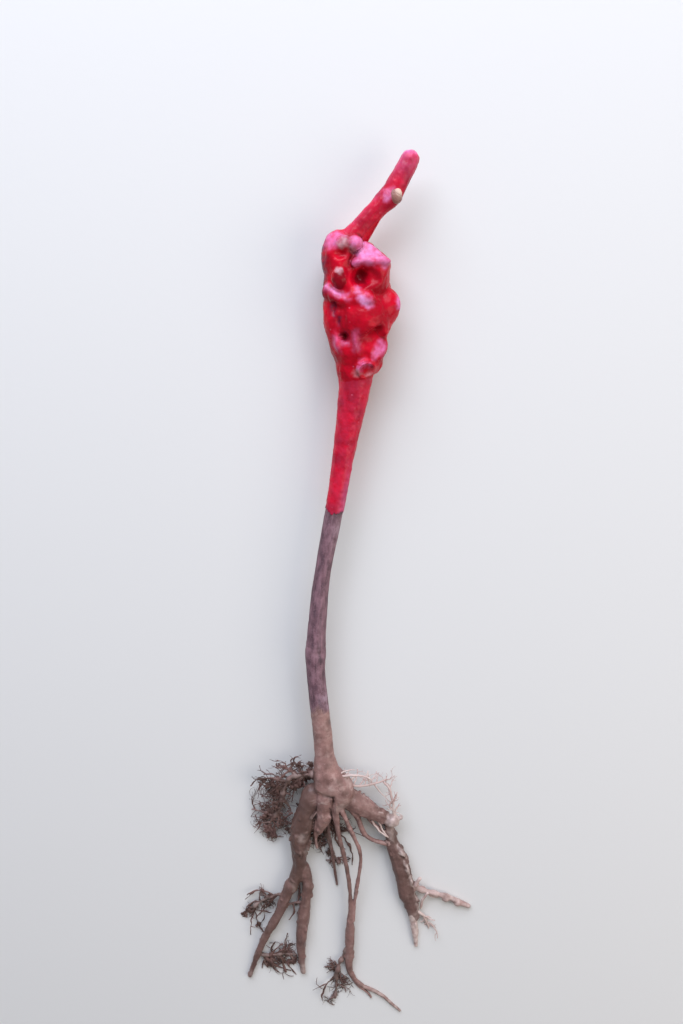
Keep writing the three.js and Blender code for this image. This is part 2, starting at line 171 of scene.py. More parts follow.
SPUR_BUD = Lump([29.7, 273.3, 19], [2.5, 3.3, 2.4], turn=5)

STUB = Limb([15.7, 207.1], 4.4, [300], [14.5, 21.5], [4.3, 4.7, 4.4])
SPUR = Limb(
    [7.7, 253.6], 40.4 + SPUR_SINK, [44, 44, 45, 46, 47, 46, 45, 47, 61, 63, 62, 64, 67],
    [15, 15.4, 16, 16.4], [4.2, 4.1, 4, 4, 4.2, 4.2, 4, 3.7],
)

ROOTS = {
    "root_left_main": Limb(
        [-4.6, -1.6], 62, [244, 250, 256, 268, 270, 250, 256], [9.4, 8.2, 6.8, 5.5, 4.5],
        [4.6, 5.0, 5.6, 4.7, 3.4, 2.9, 2.7], lift=0.84,
    ),
    "root_right_main": Limb(
        [6.1, -1.5], 35.3, [320, 323, 328, 329], [10.4, 9.2, 7.8, 7], [4.4, 5, 5.2, 4.6, 3.5, 2.5, 3.4],
        lift=0.84, fillet=1.2,
    ),
    "root_front_main": Limb(
        [-0.6, 1], 38, [269, 268, 262, 248, 264, 288], [11.4, 11.2, 9.8, 7.4, 5.4],
        [4.3, 4.4, 4.3, 3, 0.9, 0.7], fillet=0.9,
    ),
    "root_left_outer": Limb(
        [-17.7, -54.8], 65, [256, 252, 244, 244, 250, 252, 253], [4.6, 3.4, 0],
        [2.9, 2.7, 2.3, 1.8, 1.5, 1.1],
    ),
    "root_left_inner": Limb(
        [-12.6, -45], 69, [300, 274, 262, 262, 265, 268, 272, 278], [5, 3.8, 3, 0],
        [2.8, 2.5, 2.6, 3.1, 2.7, 1.8, 1.3],
    ),
    "root_right_lower": Limb(
        [30.6, -19], 63, [275, 279, 290, 286, 280, 284, 286, 290], [6.4, 5, 4, 3.4, 0],
        [1.7, 2.2, 3.7, 4.3, 4.3, 4, 3.5, 2.2], lift=0.72,
    ),
    "root_right_branch": Limb(
        [40.4, -56], 37.5, [321, 321, 334, 345, 338, 332, 330, 334, 336], [4, 3, 0],
        [1.6, 1.1, 1.5, 1.1, 1.4, 1.1, 1.6, 1.2, 1.6, 1.2, 1.2],
    ),
    "root_right_tip": Limb([43.2, -73.6], 23.7, [280, 274], [2.4, 0], [1.9, 1.8, 1.5, 1]),
    "root_right_inner": Limb(
        [9.6, -5.6], 37, [298, 298, 296, 286, 288, 318, 338, 342], [11, 9.4, 7, 5],
        [2.2, 1.9, 1.4, 1.2, 1, 1.2],
    ),
    "root_right_strand": Limb([14.4, -8], 29, [312, 295, 316, 320], [9, 8, 6.2, 5], [1.2, 0.9, 0.8, 1]),
    "root_middle_long": Limb(
        [3.5, 0.6], 151, [274, 276, 278, 281, 281, 276, 272, 268, 271, 267, 268, 305, 338, 311, 317],
        [14.4, 13.4, 9.2, 5.5, 3.4, 2, 0, 0],
        [2.2, 1.6, 1.1, 1.1, 1, 1, 0.9, 1.3, 2.2, 2.4, 1.9, 1.2, 0.9, 0.75, 0.6],
    ),
    "root_middle_right": Limb(
        [5.4, -4], 78, [289, 290, 291, 290, 268, 262, 263, 267, 267], [13.6, 12.4, 9.8, 7.5, 5.5, 4.2],
        [1.7, 1, 0.9, 0.9, 0.9, 0.85, 0.8],
    ),
    "root_middle_left": Limb([0, -12], 49, [272, 278, 276, 276, 277], [9, 6.6, 4, 0], [1.1, 0.8, 0.7, 0.6]),
    "root_middle_split": Limb([11.2, -104], 29, [272, 280, 296, 324, 293], [1.6, 0], [1, 0.8, 0.5]),
    "root_back": Limb([3.4, -1.4], 44, [316, 322, 318, 300], [6.2, 3, 0], [2.4, 1.9, 1.5, 1.2]),
}

FINE_ROOTS = {
    "fine_roots_left": Mass(
        [-2, 7.2], 51, [172, 186, 254, 262, 236, 247], [12, 10, 8.4, 6.4, 4.6, 3], [0.8, 0.7, 0.6, 0.45],
        seed=11, count=24, reach=17, low=[-38, -36, 0], high=[0, 15, 17],
    ),
    "fine_roots_right_upper": Mass(
        [3, 8.2], 19, [370, 368, 355, 323], [13, 14.8, 14], [0.6, 0.5, 0.4], seed=23, count=5, reach=8,
        low=[0, -6, 8], high=[30, 16, 20],
    ),
    "fine_roots_right": Mass(
        [5.6, 4.6], 24, [340, 338, 356, 370, 384], [13, 11, 9, 8], [0.7, 0.6, 0.5, 0.4], seed=31, count=8,
        reach=10, low=[4, -14, 1], high=[40, 15, 14],
    ),
    "fine_roots_right_nub": Mass(
        [33.4, -19.4], 23.5, [84, 101, 94, 113, 148], [7.4, 9, 9, 8], [0.7, 0.55, 0.4], seed=43, count=6,
        reach=8, low=[20, -18, 1], high=[46, 14, 12],
    ),
    "fine_roots_right_low": Mass(
        [44.4, -72.6], 16, [324, 298, 282], [3, 2, 0], [0.9, 0.7, 0.4], seed=53, count=6, reach=8,
        low=[38, -98, 0], high=[64, -60, 8],
    ),
    "fine_roots_left_low": Mass(
        [-34.8, -100.9], 19.5, [323, 380, 352, 349], [1.6, 1.4, 0], [0.7, 0.55, 0.4], seed=61, count=7,
        reach=9, low=[-34, -118, 0], high=[-10, -84, 8],
    ),
    "fine_roots_left_cross": Mass(
        [-22.6, -71], 12.5, [9, 12, 42], [2.6, 2.2, 3.4], [0.7, 0.6, 0.5], seed=64, count=3, reach=6,
        low=[-22, -80, 0], high=[-9, -58, 8],
    ),
    "fine_roots_left_outer": Mass(
        [-20.4, -64], 27, [186, 216, 238], [3.2, 2, 0], [0.7, 0.5, 0.35], seed=67, count=8, reach=9,
        low=[-48, -96, 0], high=[-20, -52, 8],
    ),
    "fine_roots_middle_end": Mass(
        [11, -96.6], 34, [240, 252, 272, 262], [2.4, 1.6, 0], [0.7, 0.55, 0.4], seed=71, count=8, reach=11,
        low=[-8, -134, 0], high=[26, -86, 8],
    ),
    "fine_roots_back": Mass(
        [-0.4, -2.6], 46, [262, 270, 284, 300], [6.4, 3, 1.4, 0], [1.1, 0.8, 0.6, 0.45], seed=83, count=12,
        reach=15, low=[-12, -52, 0], high=[28, -6, 6.5],
    ),
}
# The angle at which a side rootlet leaves its stem, how far it curls, and its share of the stem's
# radius
SIDE_ANGLE = (22, 74)
SIDE_CURL = 120
SIDE_THICKNESS = 0.62


# Numbers

def linear(code):
    """An sRGB hex colour as linear red, green, blue and an alpha of 1."""
    parts = np.array([int(code[i:i + 2], 16) for i in (1, 3, 5)]) / 255
    low, high = parts / 12.92, ((parts + 0.055) / 1.055) ** 2.4
    return (*np.where(parts <= 0.04045, low, high).tolist(), 1.0)


def along(values, share):
    """The value at a share from 0 to 1 along a list of evenly spaced values."""
    return np.interp(share, np.linspace(0, 1, len(values)), values)


def between(low, high, share):
    """The value at a share of the way from low to high."""
    return low + share * (high - low)


def unit(vectors):
    """Vectors with the same directions and the length 1."""
    return vectors / np.linalg.norm(vectors, axis=-1, keepdims=True)


def turns(sides):
    """The angles of even steps round a circle."""
    return np.arange(sides) * 2 * math.pi / sides


def seeded(seed):
    """A generator of numbers from 0 to 1, the same one as in the part's source."""
    state = seed
    while True:
        state = (state * 1664525 + 1013904223) % 4294967296
        yield state / 4294967296


def ease(value, low, high):
    """0 below low, 1 above high, and a smooth S between: 3 s squared less 2 s cubed."""
    share = np.clip((value - low) / (high - low), 0, 1)
    return share * share * (3 - 2 * share)


def bump(value, middle, width):
    """A smooth bump of height 1: e to the minus square of the distance from its middle in widths."""
    return np.exp(-(((value - middle) / width) ** 2))


def noise(where, size, seed):
    """Smooth noise from -1 to 1: seeded values at the corners of a lattice whose cells have the
    given size, a number or one for each axis, eased from corner to corner along each axis."""
    place = where / size + seed * 17.13
    cell = np.floor(place).astype(np.int64)
    share = place - cell
    share = share * share * (3 - 2 * share)
    total = np.zeros(len(where))
    for corner in np.ndindex(2, 2, 2):
        key = (cell + corner) @ np.array([73856093, 19349663, 83492791]) + seed * 2654435761
        key = (key ^ (key >> 13)) * 1274126177 & 0x7FFFFFFF
        key = (key ^ (key >> 16)) * 668265263 & 0x7FFFFFFF
        weight = np.where(corner, share, 1 - share).prod(axis=1)
        total += weight * (key / 0x3FFFFFFF - 1)
    return total


def rough(where, size, seed, octaves=3):
    """Noise with finer noise on it: each octave has half the size and 0.55 of the strength."""
    size = np.asarray(size, float)
    return sum(noise(where, size / 2**k, seed + k) * 0.55**k for k in range(octaves))


# Middle lines

def route(limb):
    """A limb's middle line: from start it takes even steps through the headings, while its height
    goes through the heights but stays above its own radius."""
    share = np.arange(ROUTE_STEPS) / ROUTE_STEPS
    heading = np.radians(along(limb.headings, share + 0.5 / ROUTE_STEPS))
    steps = np.stack([np.cos(heading), np.sin(heading)], 1) * limb.length / ROUTE_STEPS
    plan = np.vstack([[0, 0], np.cumsum(steps, axis=0)]) + limb.start
    share = np.arange(ROUTE_STEPS + 1) / ROUTE_STEPS
    lying = along(limb.radii, share) * limb.lift + FLOOR_GAP
    return np.column_stack([plan, np.maximum(along(limb.heights, share), lying)]) + CROWN


def measured(line):
    """The distance along a line at each of its points."""
    return np.concatenate([[0], np.cumsum(np.linalg.norm(np.diff(line, axis=0), axis=1))])


def at_places(line, places, values=None):
    """The points of a line at distances along it, or the values there of some that are given for
    each of its points."""
    run = measured(line)
    values = line if values is None else values
    return np.stack([np.interp(places, run, values[:, k]) for k in range(3)], 1)


def eased_line(line, count=240, passes=6):
    """A line with many even points, whose corners are eased by taking means of neighbours."""
    points = at_places(line, np.linspace(0, measured(line)[-1], count))
    for _ in range(passes):
        points[1:-1] = (points[:-2] + 2 * points[1:-1] + points[2:]) / 4
    return points


def longer(line, before, after):
    """A line carried straight on by some millimetres at either end."""
    points = [line]
    if before:
        points.insert(0, line[0] + unit(line[0] - line[1]) * before)
    if after:
        points.append(line[-1] + unit(line[-1] - line[-2]) * after)
    return np.vstack(points)


CANE_ROUTE = route(Limb(
    [0.1, -HEEL], CANE_LENGTH + HEEL, [91, 93, 96, 95, 86, 84.5, 80, 79, 81.5, 80.5, 81.5],
    [CANE_HEIGHT, CANE_HEIGHT, UNION_HEIGHT], [4],
))


def cane_stretch(start, end, count=60):
    """The cane's middle line between two distances from the crown."""
    return at_places(CANE_ROUTE, np.linspace(start + HEEL, end + HEEL, count))


# Grids of rays

@dataclass
class Grid:
    """Rays that a surface is looked for on, in rings, and the faces between them. The last two
    rays are the poles that close the ends. close shrinks the rings of a flat end."""
    origin: np.ndarray
    direction: np.ndarray
    radius: np.ndarray
    close: np.ndarray
    place: np.ndarray
    angle: np.ndarray
    faces: tuple


def ring_faces(rings, sides):
    """Faces between rings of points, and the fans that close both ends on the two last points."""
    row, col = np.meshgrid(np.arange(rings - 1), np.arange(sides), indexing="ij")
    after = (col + 1) % sides
    corners = [row * sides + col, (row + 1) * sides + col, (row + 1) * sides + after, row * sides + after]
    quads = np.stack([c.ravel() for c in corners], 1)
    side = np.arange(sides)
    after = (side + 1) % sides
    last, foot, tip = (rings - 1) * sides, rings * sides, rings * sides + 1
    foot_fan = np.stack([np.full(sides, foot), side, after], 1)
    tip_fan = np.stack([last + side, np.full(sides, tip), last + after], 1)
    return quads, np.vstack([foot_fan, tip_fan])


def across(tangent):
    """Unit vectors square to a line at each of its points: level ones, and ones square to both."""
    side = unit(np.cross(tangent, [0, 0, 1.0]))
    return side, np.cross(side, tangent)


def spokes(side, up, angle):
    """The directions at each angle round a line: one row for each point, a column for each angle."""
    return np.cos(angle)[None, :, None] * side[:, None] + np.sin(angle)[None, :, None] * up[:, None]


def limb_grid(line, radii, cell, lift=1.0, ends=("round", "round"), sides=None):
    """Rays square to a middle line and all round it, about a cell apart. At a round end they fan
    out over half a ball, and at a flat one the rings close in straight across."""
    line = eased_line(line)
    length = measured(line)[-1]
    round_foot, round_tip = (float(end == "round") for end in ends)
    first, last = radii[0] * round_foot, length - radii[-1] * round_tip
    sides = sides or max(8, round(2 * math.pi * max(radii) / cell))
    quarter = max(3, sides // 4)
    fan = np.arange(1, quarter) / quarter
    body = np.linspace(first, last, max(4, round((last - first) / cell)))
    place = np.concatenate([0 * fan + first, body, 0 * fan + last, [first, last]])
    tilt = [(fan - 1) * round_foot, 0 * body, fan * round_tip, [-round_foot, round_tip]]
    tilt = np.concatenate(tilt) * math.pi / 2
    feet, tips = np.maximum(fan, round_foot), np.maximum(fan[::-1], round_tip)
    close = np.concatenate([feet, 0 * body + 1, tips, [round_foot, round_tip]])
    tangent = unit(at_places(line, place, np.gradient(line, measured(line), axis=0)))
    side, up = across(tangent)
    up[:, 2] *= lift
    angle = turns(sides)
    rings = len(place) - 2
    level, steep = (part[:rings, None, None] for part in (np.cos(tilt), np.sin(tilt)))
    direction = level * spokes(side[:rings], up[:rings], angle) + steep * tangent[:rings, None]

    def spread_out(values):
        return np.concatenate([np.repeat(values[:rings], sides, axis=0), values[rings:]])

    return Grid(
        origin=spread_out(at_places(line, place)),
        direction=np.vstack([direction.reshape(-1, 3), -tangent[-2], tangent[-1]]),
        radius=spread_out(along(radii, place / length)),
        close=spread_out(close),
        place=spread_out(place),
        angle=np.concatenate([np.tile(angle, rings), [0, 0]]),
        faces=ring_faces(rings, sides),
    )


def ball_grid(centre, half, cell, turn=0.0):
    """Rays from a centre out to an ellipsoid with the given half sizes, ring by ring round its
    height: the ray's length is a half size in each axis times the unit ball's point."""
    sides = max(12, round(2 * math.pi * max(half) / cell))
    rings = max(6, sides // 2)
    tilt = (np.arange(1, rings) / rings - 0.5) * math.pi
    angle, plane = turns(sides), np.cos(tilt)[:, None]
    ball = np.stack([plane * np.cos(angle), plane * np.sin(angle), np.sin(tilt)[:, None] + 0 * angle], -1)
    ball = np.vstack([ball.reshape(-1, 3), [0, 0, -1.0], [0, 0, 1.0]])
    cos, sin = math.cos(math.radians(turn)), math.sin(math.radians(turn))
    reach = ball * half @ np.array([[cos, sin, 0], [-sin, cos, 0], [0, 0, 1]])
    radius = np.linalg.norm(reach, axis=1)
    return Grid(
        origin=np.tile(CROWN + centre, (len(ball), 1)),
        direction=reach / radius[:, None],
        radius=radius,
        close=np.ones(len(ball)),
        place=ball[:, 2],
        angle=np.arctan2(ball[:, 1], ball[:, 0]),
        faces=ring_faces(rings - 1, sides),
    )


# How far points are outside a shape, in millimetres

# How far apart the rays of each kind of piece are where they start
CELLS = {
    "neck": 0.26, "spur": 0.24, "stub": 0.2, "lump": 0.18, "bud": 0.14, "crown": 0.3, "cane": 0.22,
    "thick": 0.33, "thin": 0.26,
}
# The share of the full relief of wax or clay that they have, where that isn't all of it
RELIEF = {"neck": 0.8, "spur": 0.8, "stub": 0.6, "lump": 0.7, "crown": 0.7, "cane": 0.6}
# How far a point is lifted off its surface to find how closed in it is
LIFTED = {"wax": 2.4, "spur": 2.0, "crown": 2.4, "root": 1.8}
FAR = 50.0  # the gap where no other shape is near
MARGIN = 4.0  # a shape is only measured for points this near its box
STRIDE = 1.2  # the most that a point moves in one round
ROUNDS = 44  # and the most rounds
SETTLED = 0.004  # a point whose gap is under this stays where it is
SINK = 0.7  # how far a piece sinks where another one is the outer one
SINK_WIDTH = 1.6  # the gap between the two at which it has sunk that far
THINNEST = 0.05  # the least that a ray is long
FLAT_EDGE = 0.5  # how far the edge of a cut end is rounded


def fuse(one, other, blend):
    """The nearer of two gaps. Where they differ by less than blend it is less by up to a quarter
    of blend, which rounds the joint: blend times a squared share over 4."""
    share = np.clip(1 - np.abs(one - other) / blend, 0, 1)
    return np.minimum(one, other) - share * share * blend / 4


def carve(body, cutter, blend):
    """The gap to a body with a cutter taken out of it: the fuse of their opposites, reversed."""
    return -fuse(-body, cutter, blend)


def lump_gap(where, lump):
    """The gap to a blocky ellipsoid. size is the p-th root of the sum of each coordinate over its
    half size, to the power p, and the gap is size less 1 over size's steepness there."""
    cos, sin = math.cos(math.radians(lump.turn)), math.sin(math.radians(lump.turn))
    power = 2 / lump.square
    x, y, z = (where - CROWN - lump.at).T
    turned = np.stack([x * cos + y * sin, y * cos - x * sin, z], 1)
    scaled = np.abs(turned / lump.half) + 1e-6
    size = (scaled**power).sum(1) ** (1 / power)
    steep = np.linalg.norm(scaled ** (power - 1) / lump.half, axis=1) * size ** (1 - power)
    return (size - 1) / steep


def tube_gap(where, line, radius, lift=1.0):
    """The gap to a tapering tube: the least, over its short stretches, of the distance to the
    stretch less the radius there. Heights count for more where the tube is flattened."""
    flat = np.array([1, 1, 1 / lift])
    points = where * flat
    feet, runs = line[:-1] * flat, np.diff(line, axis=0) * flat
    gap = np.full(len(where), np.inf)
    for foot, run, first, last in zip(feet, runs, radius[:-1], radius[1:]):
        away = points - foot
        share = np.clip(away @ run / (run @ run), 0, 1)
        away = np.linalg.norm(away - share[:, None] * run, axis=1)
        gap = np.minimum(gap, away - between(first, last, share))
    return gap


class Skin:
    """Shapes whose surfaces run together under one film, of wax or of clay."""

    def __init__(self):
        self.shapes = {}
        self.cuts = []

    def add(self, name, measure, low, high, soft, own_surface=True):
        """Adds a shape: what measures the gap to it, the corners of its box, how widely it runs
        into the others, and whether it shows as a piece of its own."""
        self.shapes[name] = (measure, np.array(low) - MARGIN, np.array(high) + MARGIN, soft, own_surface)

    def add_tube(self, name, line, radii, soft, lift=1.0, stretches=24, flat_end=False):
        """Adds a tube. Its own ends are round, so its line is shorter by the radius there."""
        length = measured(line)[-1]
        places = np.linspace(radii[0], length - radii[-1] * (not flat_end), stretches + 1)
        points, radius = at_places(line, places), along(radii, places / length)
        out = unit(points[-1] - points[-2])

        def measure(where):
            gap = tube_gap(where, points, radius, lift)
            return carve(gap, -(where - points[-1]) @ out, FLAT_EDGE) if flat_end else gap

        widest = radius.max()
        self.add(name, measure, points.min(0) - widest, points.max(0) + widest, soft)

    def add_lump(self, name, lump, soft, own_surface=True):
        """Adds a blocky ellipsoid."""
        low, high = (CROWN + lump.at + sign * max(lump.half) for sign in (-1, 1))
        self.add(name, lambda where: lump_gap(where, lump), low, high, soft, own_surface)

    def gaps(self, where, own):
        """The gap to one shape, to the nearest other one that has a surface of its own, and to
        all of them fused, with grooves cut."""
        measure, _, _, own_soft, _ = self.shapes[own]
        mine = measure(where)
        nearest, fused = np.full(len(where), FAR), mine.copy()
        for name, (measure, low, high, soft, own_surface) in self.shapes.items():
            close = np.all((where > low) & (where < high), axis=1)
            if name == own or not close.any():
                continue
            gap = measure(where[close])
            if own_surface:
                nearest[close] = np.minimum(nearest[close], gap)
            fused[close] = fuse(fused[close], gap, min(soft, own_soft))
        for lump in self.cuts:
            close = np.all(np.abs(where - CROWN - lump.at) < max(lump.half) + MARGIN, axis=1)
            if close.any():
                fused[close] = carve(fused[close], lump_gap(where[close], lump), lump.soft)
        return mine, nearest, fused


def wrap(grid, skin, own, extra=2.6):
    """Draws a grid's rays in, or out, onto a skin: every point moves along its ray by the gap
    that is left, again and again, until none is. Where another shape of the skin is the outer
    one, the surface ends up sunk under it, so that only one of the two shows."""
    limit = grid.radius + extra
    depth = grid.radius.copy()
    active = np.arange(len(depth))
    for _ in range(ROUNDS):
        where = grid.origin[active] + grid.direction[active] * depth[active, None]
        gap = skin.gaps(where, own)[2]
        depth[active] = np.clip(depth[active] - np.clip(gap, -STRIDE, STRIDE), THINNEST, limit[active])
        active = active[np.abs(gap) > SETTLED]
        if not len(active):
            break
    mine, nearest, _ = skin.gaps(grid.origin + grid.direction * depth[:, None], own)
    sunk = SINK * np.clip((mine - nearest) / SINK_WIDTH, 0, 1)
    depth = np.maximum(depth - sunk, THINNEST) * grid.close
    return grid.origin + grid.direction * depth[:, None]


# Meshes

def mesh_of(name, points, quads, triangles):
    """A closed smooth mesh from points in millimetres. Its faces are turned round if the sum of
    their signed volumes says that they point inwards."""
    def volume(faces):
        a, b, c = (points[faces[:, k]] for k in range(3))
        return np.einsum("ij,ij->", a, np.cross(b, c))

    halves = np.vstack([quads[:, [0, 1, 2]], quads[:, [0, 2, 3]], triangles])
    if volume(halves) < 0:
        quads, triangles = quads[:, ::-1], triangles[:, ::-1]
    corners = np.concatenate([quads.ravel(), triangles.ravel()]).astype(np.int32)
    starts = np.concatenate([np.arange(len(quads)) * 4, len(quads) * 4 + np.arange(len(triangles)) * 3])
    mesh = bpy.data.meshes.new(name)
    mesh.vertices.add(len(points))
    mesh.vertices.foreach_set("co", (points * MM).astype(np.float32).ravel())
    mesh.loops.add(len(corners))
    mesh.loops.foreach_set("vertex_index", corners)
    mesh.polygons.add(len(starts))
    mesh.polygons.foreach_set("loop_start", starts.astype(np.int32))
    mesh.update(calc_edges=True)
    mesh.shade_smooth()
    return mesh


def points_of(mesh):
    """A mesh's points in millimetres, and the normals there."""
    points = np.empty(len(mesh.vertices) * 3, np.float32)
    normals = np.empty(len(mesh.vertices) * 3, np.float32)
    mesh.vertices.foreach_get("co", points)
    mesh.vertex_normals.foreach_get("vector", normals)
    return points.reshape(-1, 3).astype(float) / MM, normals.reshape(-1, 3).astype(float)


def raise_points(mesh, height):
    """Moves each point out along its normal by its height in millimetres, but not through the
    ground."""
    points, normals = points_of(mesh)
    points += normals * height[:, None]
    points[:, 2] = np.maximum(points[:, 2], FLOOR_GAP)
    mesh.vertices.foreach_set("co", (points * MM).astype(np.float32).ravel())
    mesh.update()


def paint(mesh, **values):
    """Keeps numbers for each point as named attributes, for the materials to read."""
    for name, value in values.items():
        vector = value.ndim == 2
        kind, key = ("FLOAT_VECTOR", "vector") if vector else ("FLOAT", "value")
        layer = mesh.attributes.new(name, kind, "POINT")
        layer.data.foreach_set(key, value.astype(np.float32).ravel())


def straightened(grid):
    """Where each point would be if its limb were straight: round the axis by its angle and up it
    by its place. Patterns that follow the limb read this."""
    return np.stack([grid.radius * np.cos(grid.angle), grid.radius * np.sin(grid.angle), grid.place], 1)


def hollowness(mesh, skin, own, depth):
    """How closed in each point is, 0 to 1: by how much a point lifted off by depth is still
    nearer to the skin than depth. The materials darken by it, as painted shade."""
    points, normals = points_of(mesh)
    gap = skin.gaps(points + normals * depth, own)[2]
    return np.clip(1 - gap / depth, 0, 1)


TORN = 1.0  # how far a spot's edge strays, in millimetres


def spotted(points, spots):
    """The most that any of some soft-edged lumps gives at each point: all of it well inside the
    lump, and none beyond its edge by 0.7 of its softness. Smooth noise of 2 mm shifts the points
    first, so that no edge is an even oval."""
    shift = np.stack([rough(points, 2.2, seed, 2) for seed in (71, 72, 73)], 1)
    points = points + TORN * shift
    each = [spot.much * (1 - ease(lump_gap(points, spot) / spot.soft, -0.6, 0.7)) for spot in spots]
    return np.max(each, axis=0)


def dress(mesh, finish, colours, node):
    """Makes a mesh a finished piece of the vine: an object at the origin that rides on the body in
    the place of a solid."""
    mesh.materials.append(material(finish, colours))
    piece = bpy.data.objects.new(mesh.name, mesh)
    bpy.context.scene.collection.objects.link(piece)
    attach(piece, "root")
    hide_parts(node)


# Node materials

def add(tree, kind, feeds=(), **settings):
    """Adds a node. settings are its own properties. feeds gives its inputs, by name or identifier,
    a value, the output of another node, or another node, which stands for its first output."""
    made = tree.nodes.new("ShaderNode" + kind)
    for name, value in settings.items():
        setattr(made, name, value)
    for name, value in dict(feeds).items():
        socket = next(s for s in made.inputs if s.enabled and name in (s.identifier, s.name))
        if isinstance(value, bpy.types.Node):
            value = next(s for s in value.outputs if s.enabled)
        if isinstance(value, bpy.types.NodeSocket):
            tree.links.new(value, socket)
        else:
            socket.default_value = value
    return made


MADE = {}


def material(maker, colours):
    """The material whose surface a function makes, kept for the next piece that asks for it."""
    if maker not in MADE:
        MADE[maker] = bpy.data.materials.new(maker.__name__)
        MADE[maker].use_nodes = True
        tree = MADE[maker].node_tree
        tree.nodes.clear()
        add(tree, "OutputMaterial", {"Surface": maker(tree, colours)})
    return MADE[maker]


def coated(tree, tone, *coats):
    """A colour with coats of other colours over it. Each coat is its colour, the pattern that
    breaks it up, the values of the pattern where the coat starts and where it is whole, how much
    it covers at least and at most, and a pattern that its cover is multiplied by, if there is one."""
    for colour, pattern, start, whole, least, most, *masks in coats:
        limits = {"From Min": start, "From Max": whole, "To Min": least, "To Max": most}
        cover = add(tree, "MapRange", {"Value": pattern, **limits})
        for mask in masks:
            cover = add(tree, "Math", {"Value": cover, "Value_001": mask}, operation="MULTIPLY")
        tone = add(tree, "Mix", {"Factor": cover, "A": tone, "B": colour}, data_type="RGBA")
    return tone


def grafting_wax(tree, colours):
    """Grafting wax: paraffin and resin with a red dye, dipped hot and set as a film. It gives a
    deep, slightly see-through red with a soft gloss, with painted shade in hollows, clouded pink where it
    has been rubbed and where pink and lilac sheen of the light is painted on, and purple where it is so
    thin that the wood shows through and where purple shade is painted on its left flank. Where it has
    missed a cut or a bud's tip, the bare tissue is grey-brown."""
    names = ("hollow", "bloom", "lilac", "thin", "bare")
    layers = [add(tree, "Attribute", attribute_name=name).outputs["Fac"] for name in names]
    hollow, bloom, lilac, thin, bare = layers
    place = add(tree, "TexCoord").outputs["Object"]
    drift = add(tree, "TexNoise", {"Vector": place, "Scale": 1 / 0.009, "Detail": 2.0})
    cloud = add(tree, "TexNoise", {"Vector": place, "Scale": 1 / 0.0026, "Detail": 3.0, "Roughness": 0.5})
    dots = add(tree, "TexVoronoi", {"Vector": place, "Scale": 1 / 0.0031}).outputs
    peel = add(tree, "TexNoise", {"Vector": place, "Scale": 1 / 0.0006, "Detail": 2.0})
    chosen = {"Value": dots["Color"], "From Min": 0.60, "From Max": 0.72, "To Max": 0.35}
    chosen = add(tree, "MapRange", chosen)
    chalk = {"Factor": lilac, "A": colours.wax_bloom, "B": colours.wax_lilac}
    chalk = add(tree, "Mix", chalk, data_type="RGBA")
    body = coated(
        tree, colours.wax_deep,
        (colours.wax, drift, 0.36, 0.60, 0, 1),
        # where the film is thin, blotches of it let the wood through; on the left flank this purple is
        # painted shade
        (colours.wax_thin, cloud, 0.62, 0.44, 0.25, 1, thin),
        # rubbed wax turns cloudy, and painted pink and lilac sheen stands for light on the facets that face
        # it, more in some places than in others
        (chalk, cloud, 0.34, 0.62, 0.45, 1, bloom),
        # a bubble in one cell of about 3 mm out of six
        (colours.wax_speck, dots["Distance"], 0.16, 0.05, 0, 1, chosen),
        # painted shade: darker in hollows and where the wax lies in shadow
        (colours.wax_hollow, hollow, 0.42, 0.95, 0, 1),
    )
    # bare tissue, healed over and faintly mottled
    tissue = coated(tree, colours.tissue_dark, (colours.tissue, cloud, 0.32, 0.66, 0, 1))
    body = add(tree, "Mix", {"Factor": bare, "A": body, "B": tissue}, data_type="RGBA")
    gloss = {"Value": cloud, "From Min": 0.3, "From Max": 0.7, "To Min": 0.26, "To Max": 0.42}
    gloss = add(tree, "MapRange", gloss)
    gloss = {"Value": bare, "Value_001": 0.3, "Value_002": gloss}
    gloss = add(tree, "Math", gloss, operation="MULTIPLY_ADD")
    grain = add(tree, "Bump", {"Height": peel, "Strength": 0.2, "Distance": 0.0001})
    grain = add(tree, "Bump", {"Height": cloud, "Strength": 0.3, "Distance": 0.0004, "Normal": grain})
    return add(tree, "BsdfPrincipled", {
        "Base Color": body, "Roughness": gloss, "IOR": 1.44, "Specular IOR Level": 0.15, "Normal": grain,
        "Subsurface Weight": 0.10, "Subsurface Radius": (1.0, 0.12, 0.10), "Subsurface Scale": 0.0012,
        "Coat Weight": 0.06, "Coat Roughness": 0.14,
    })


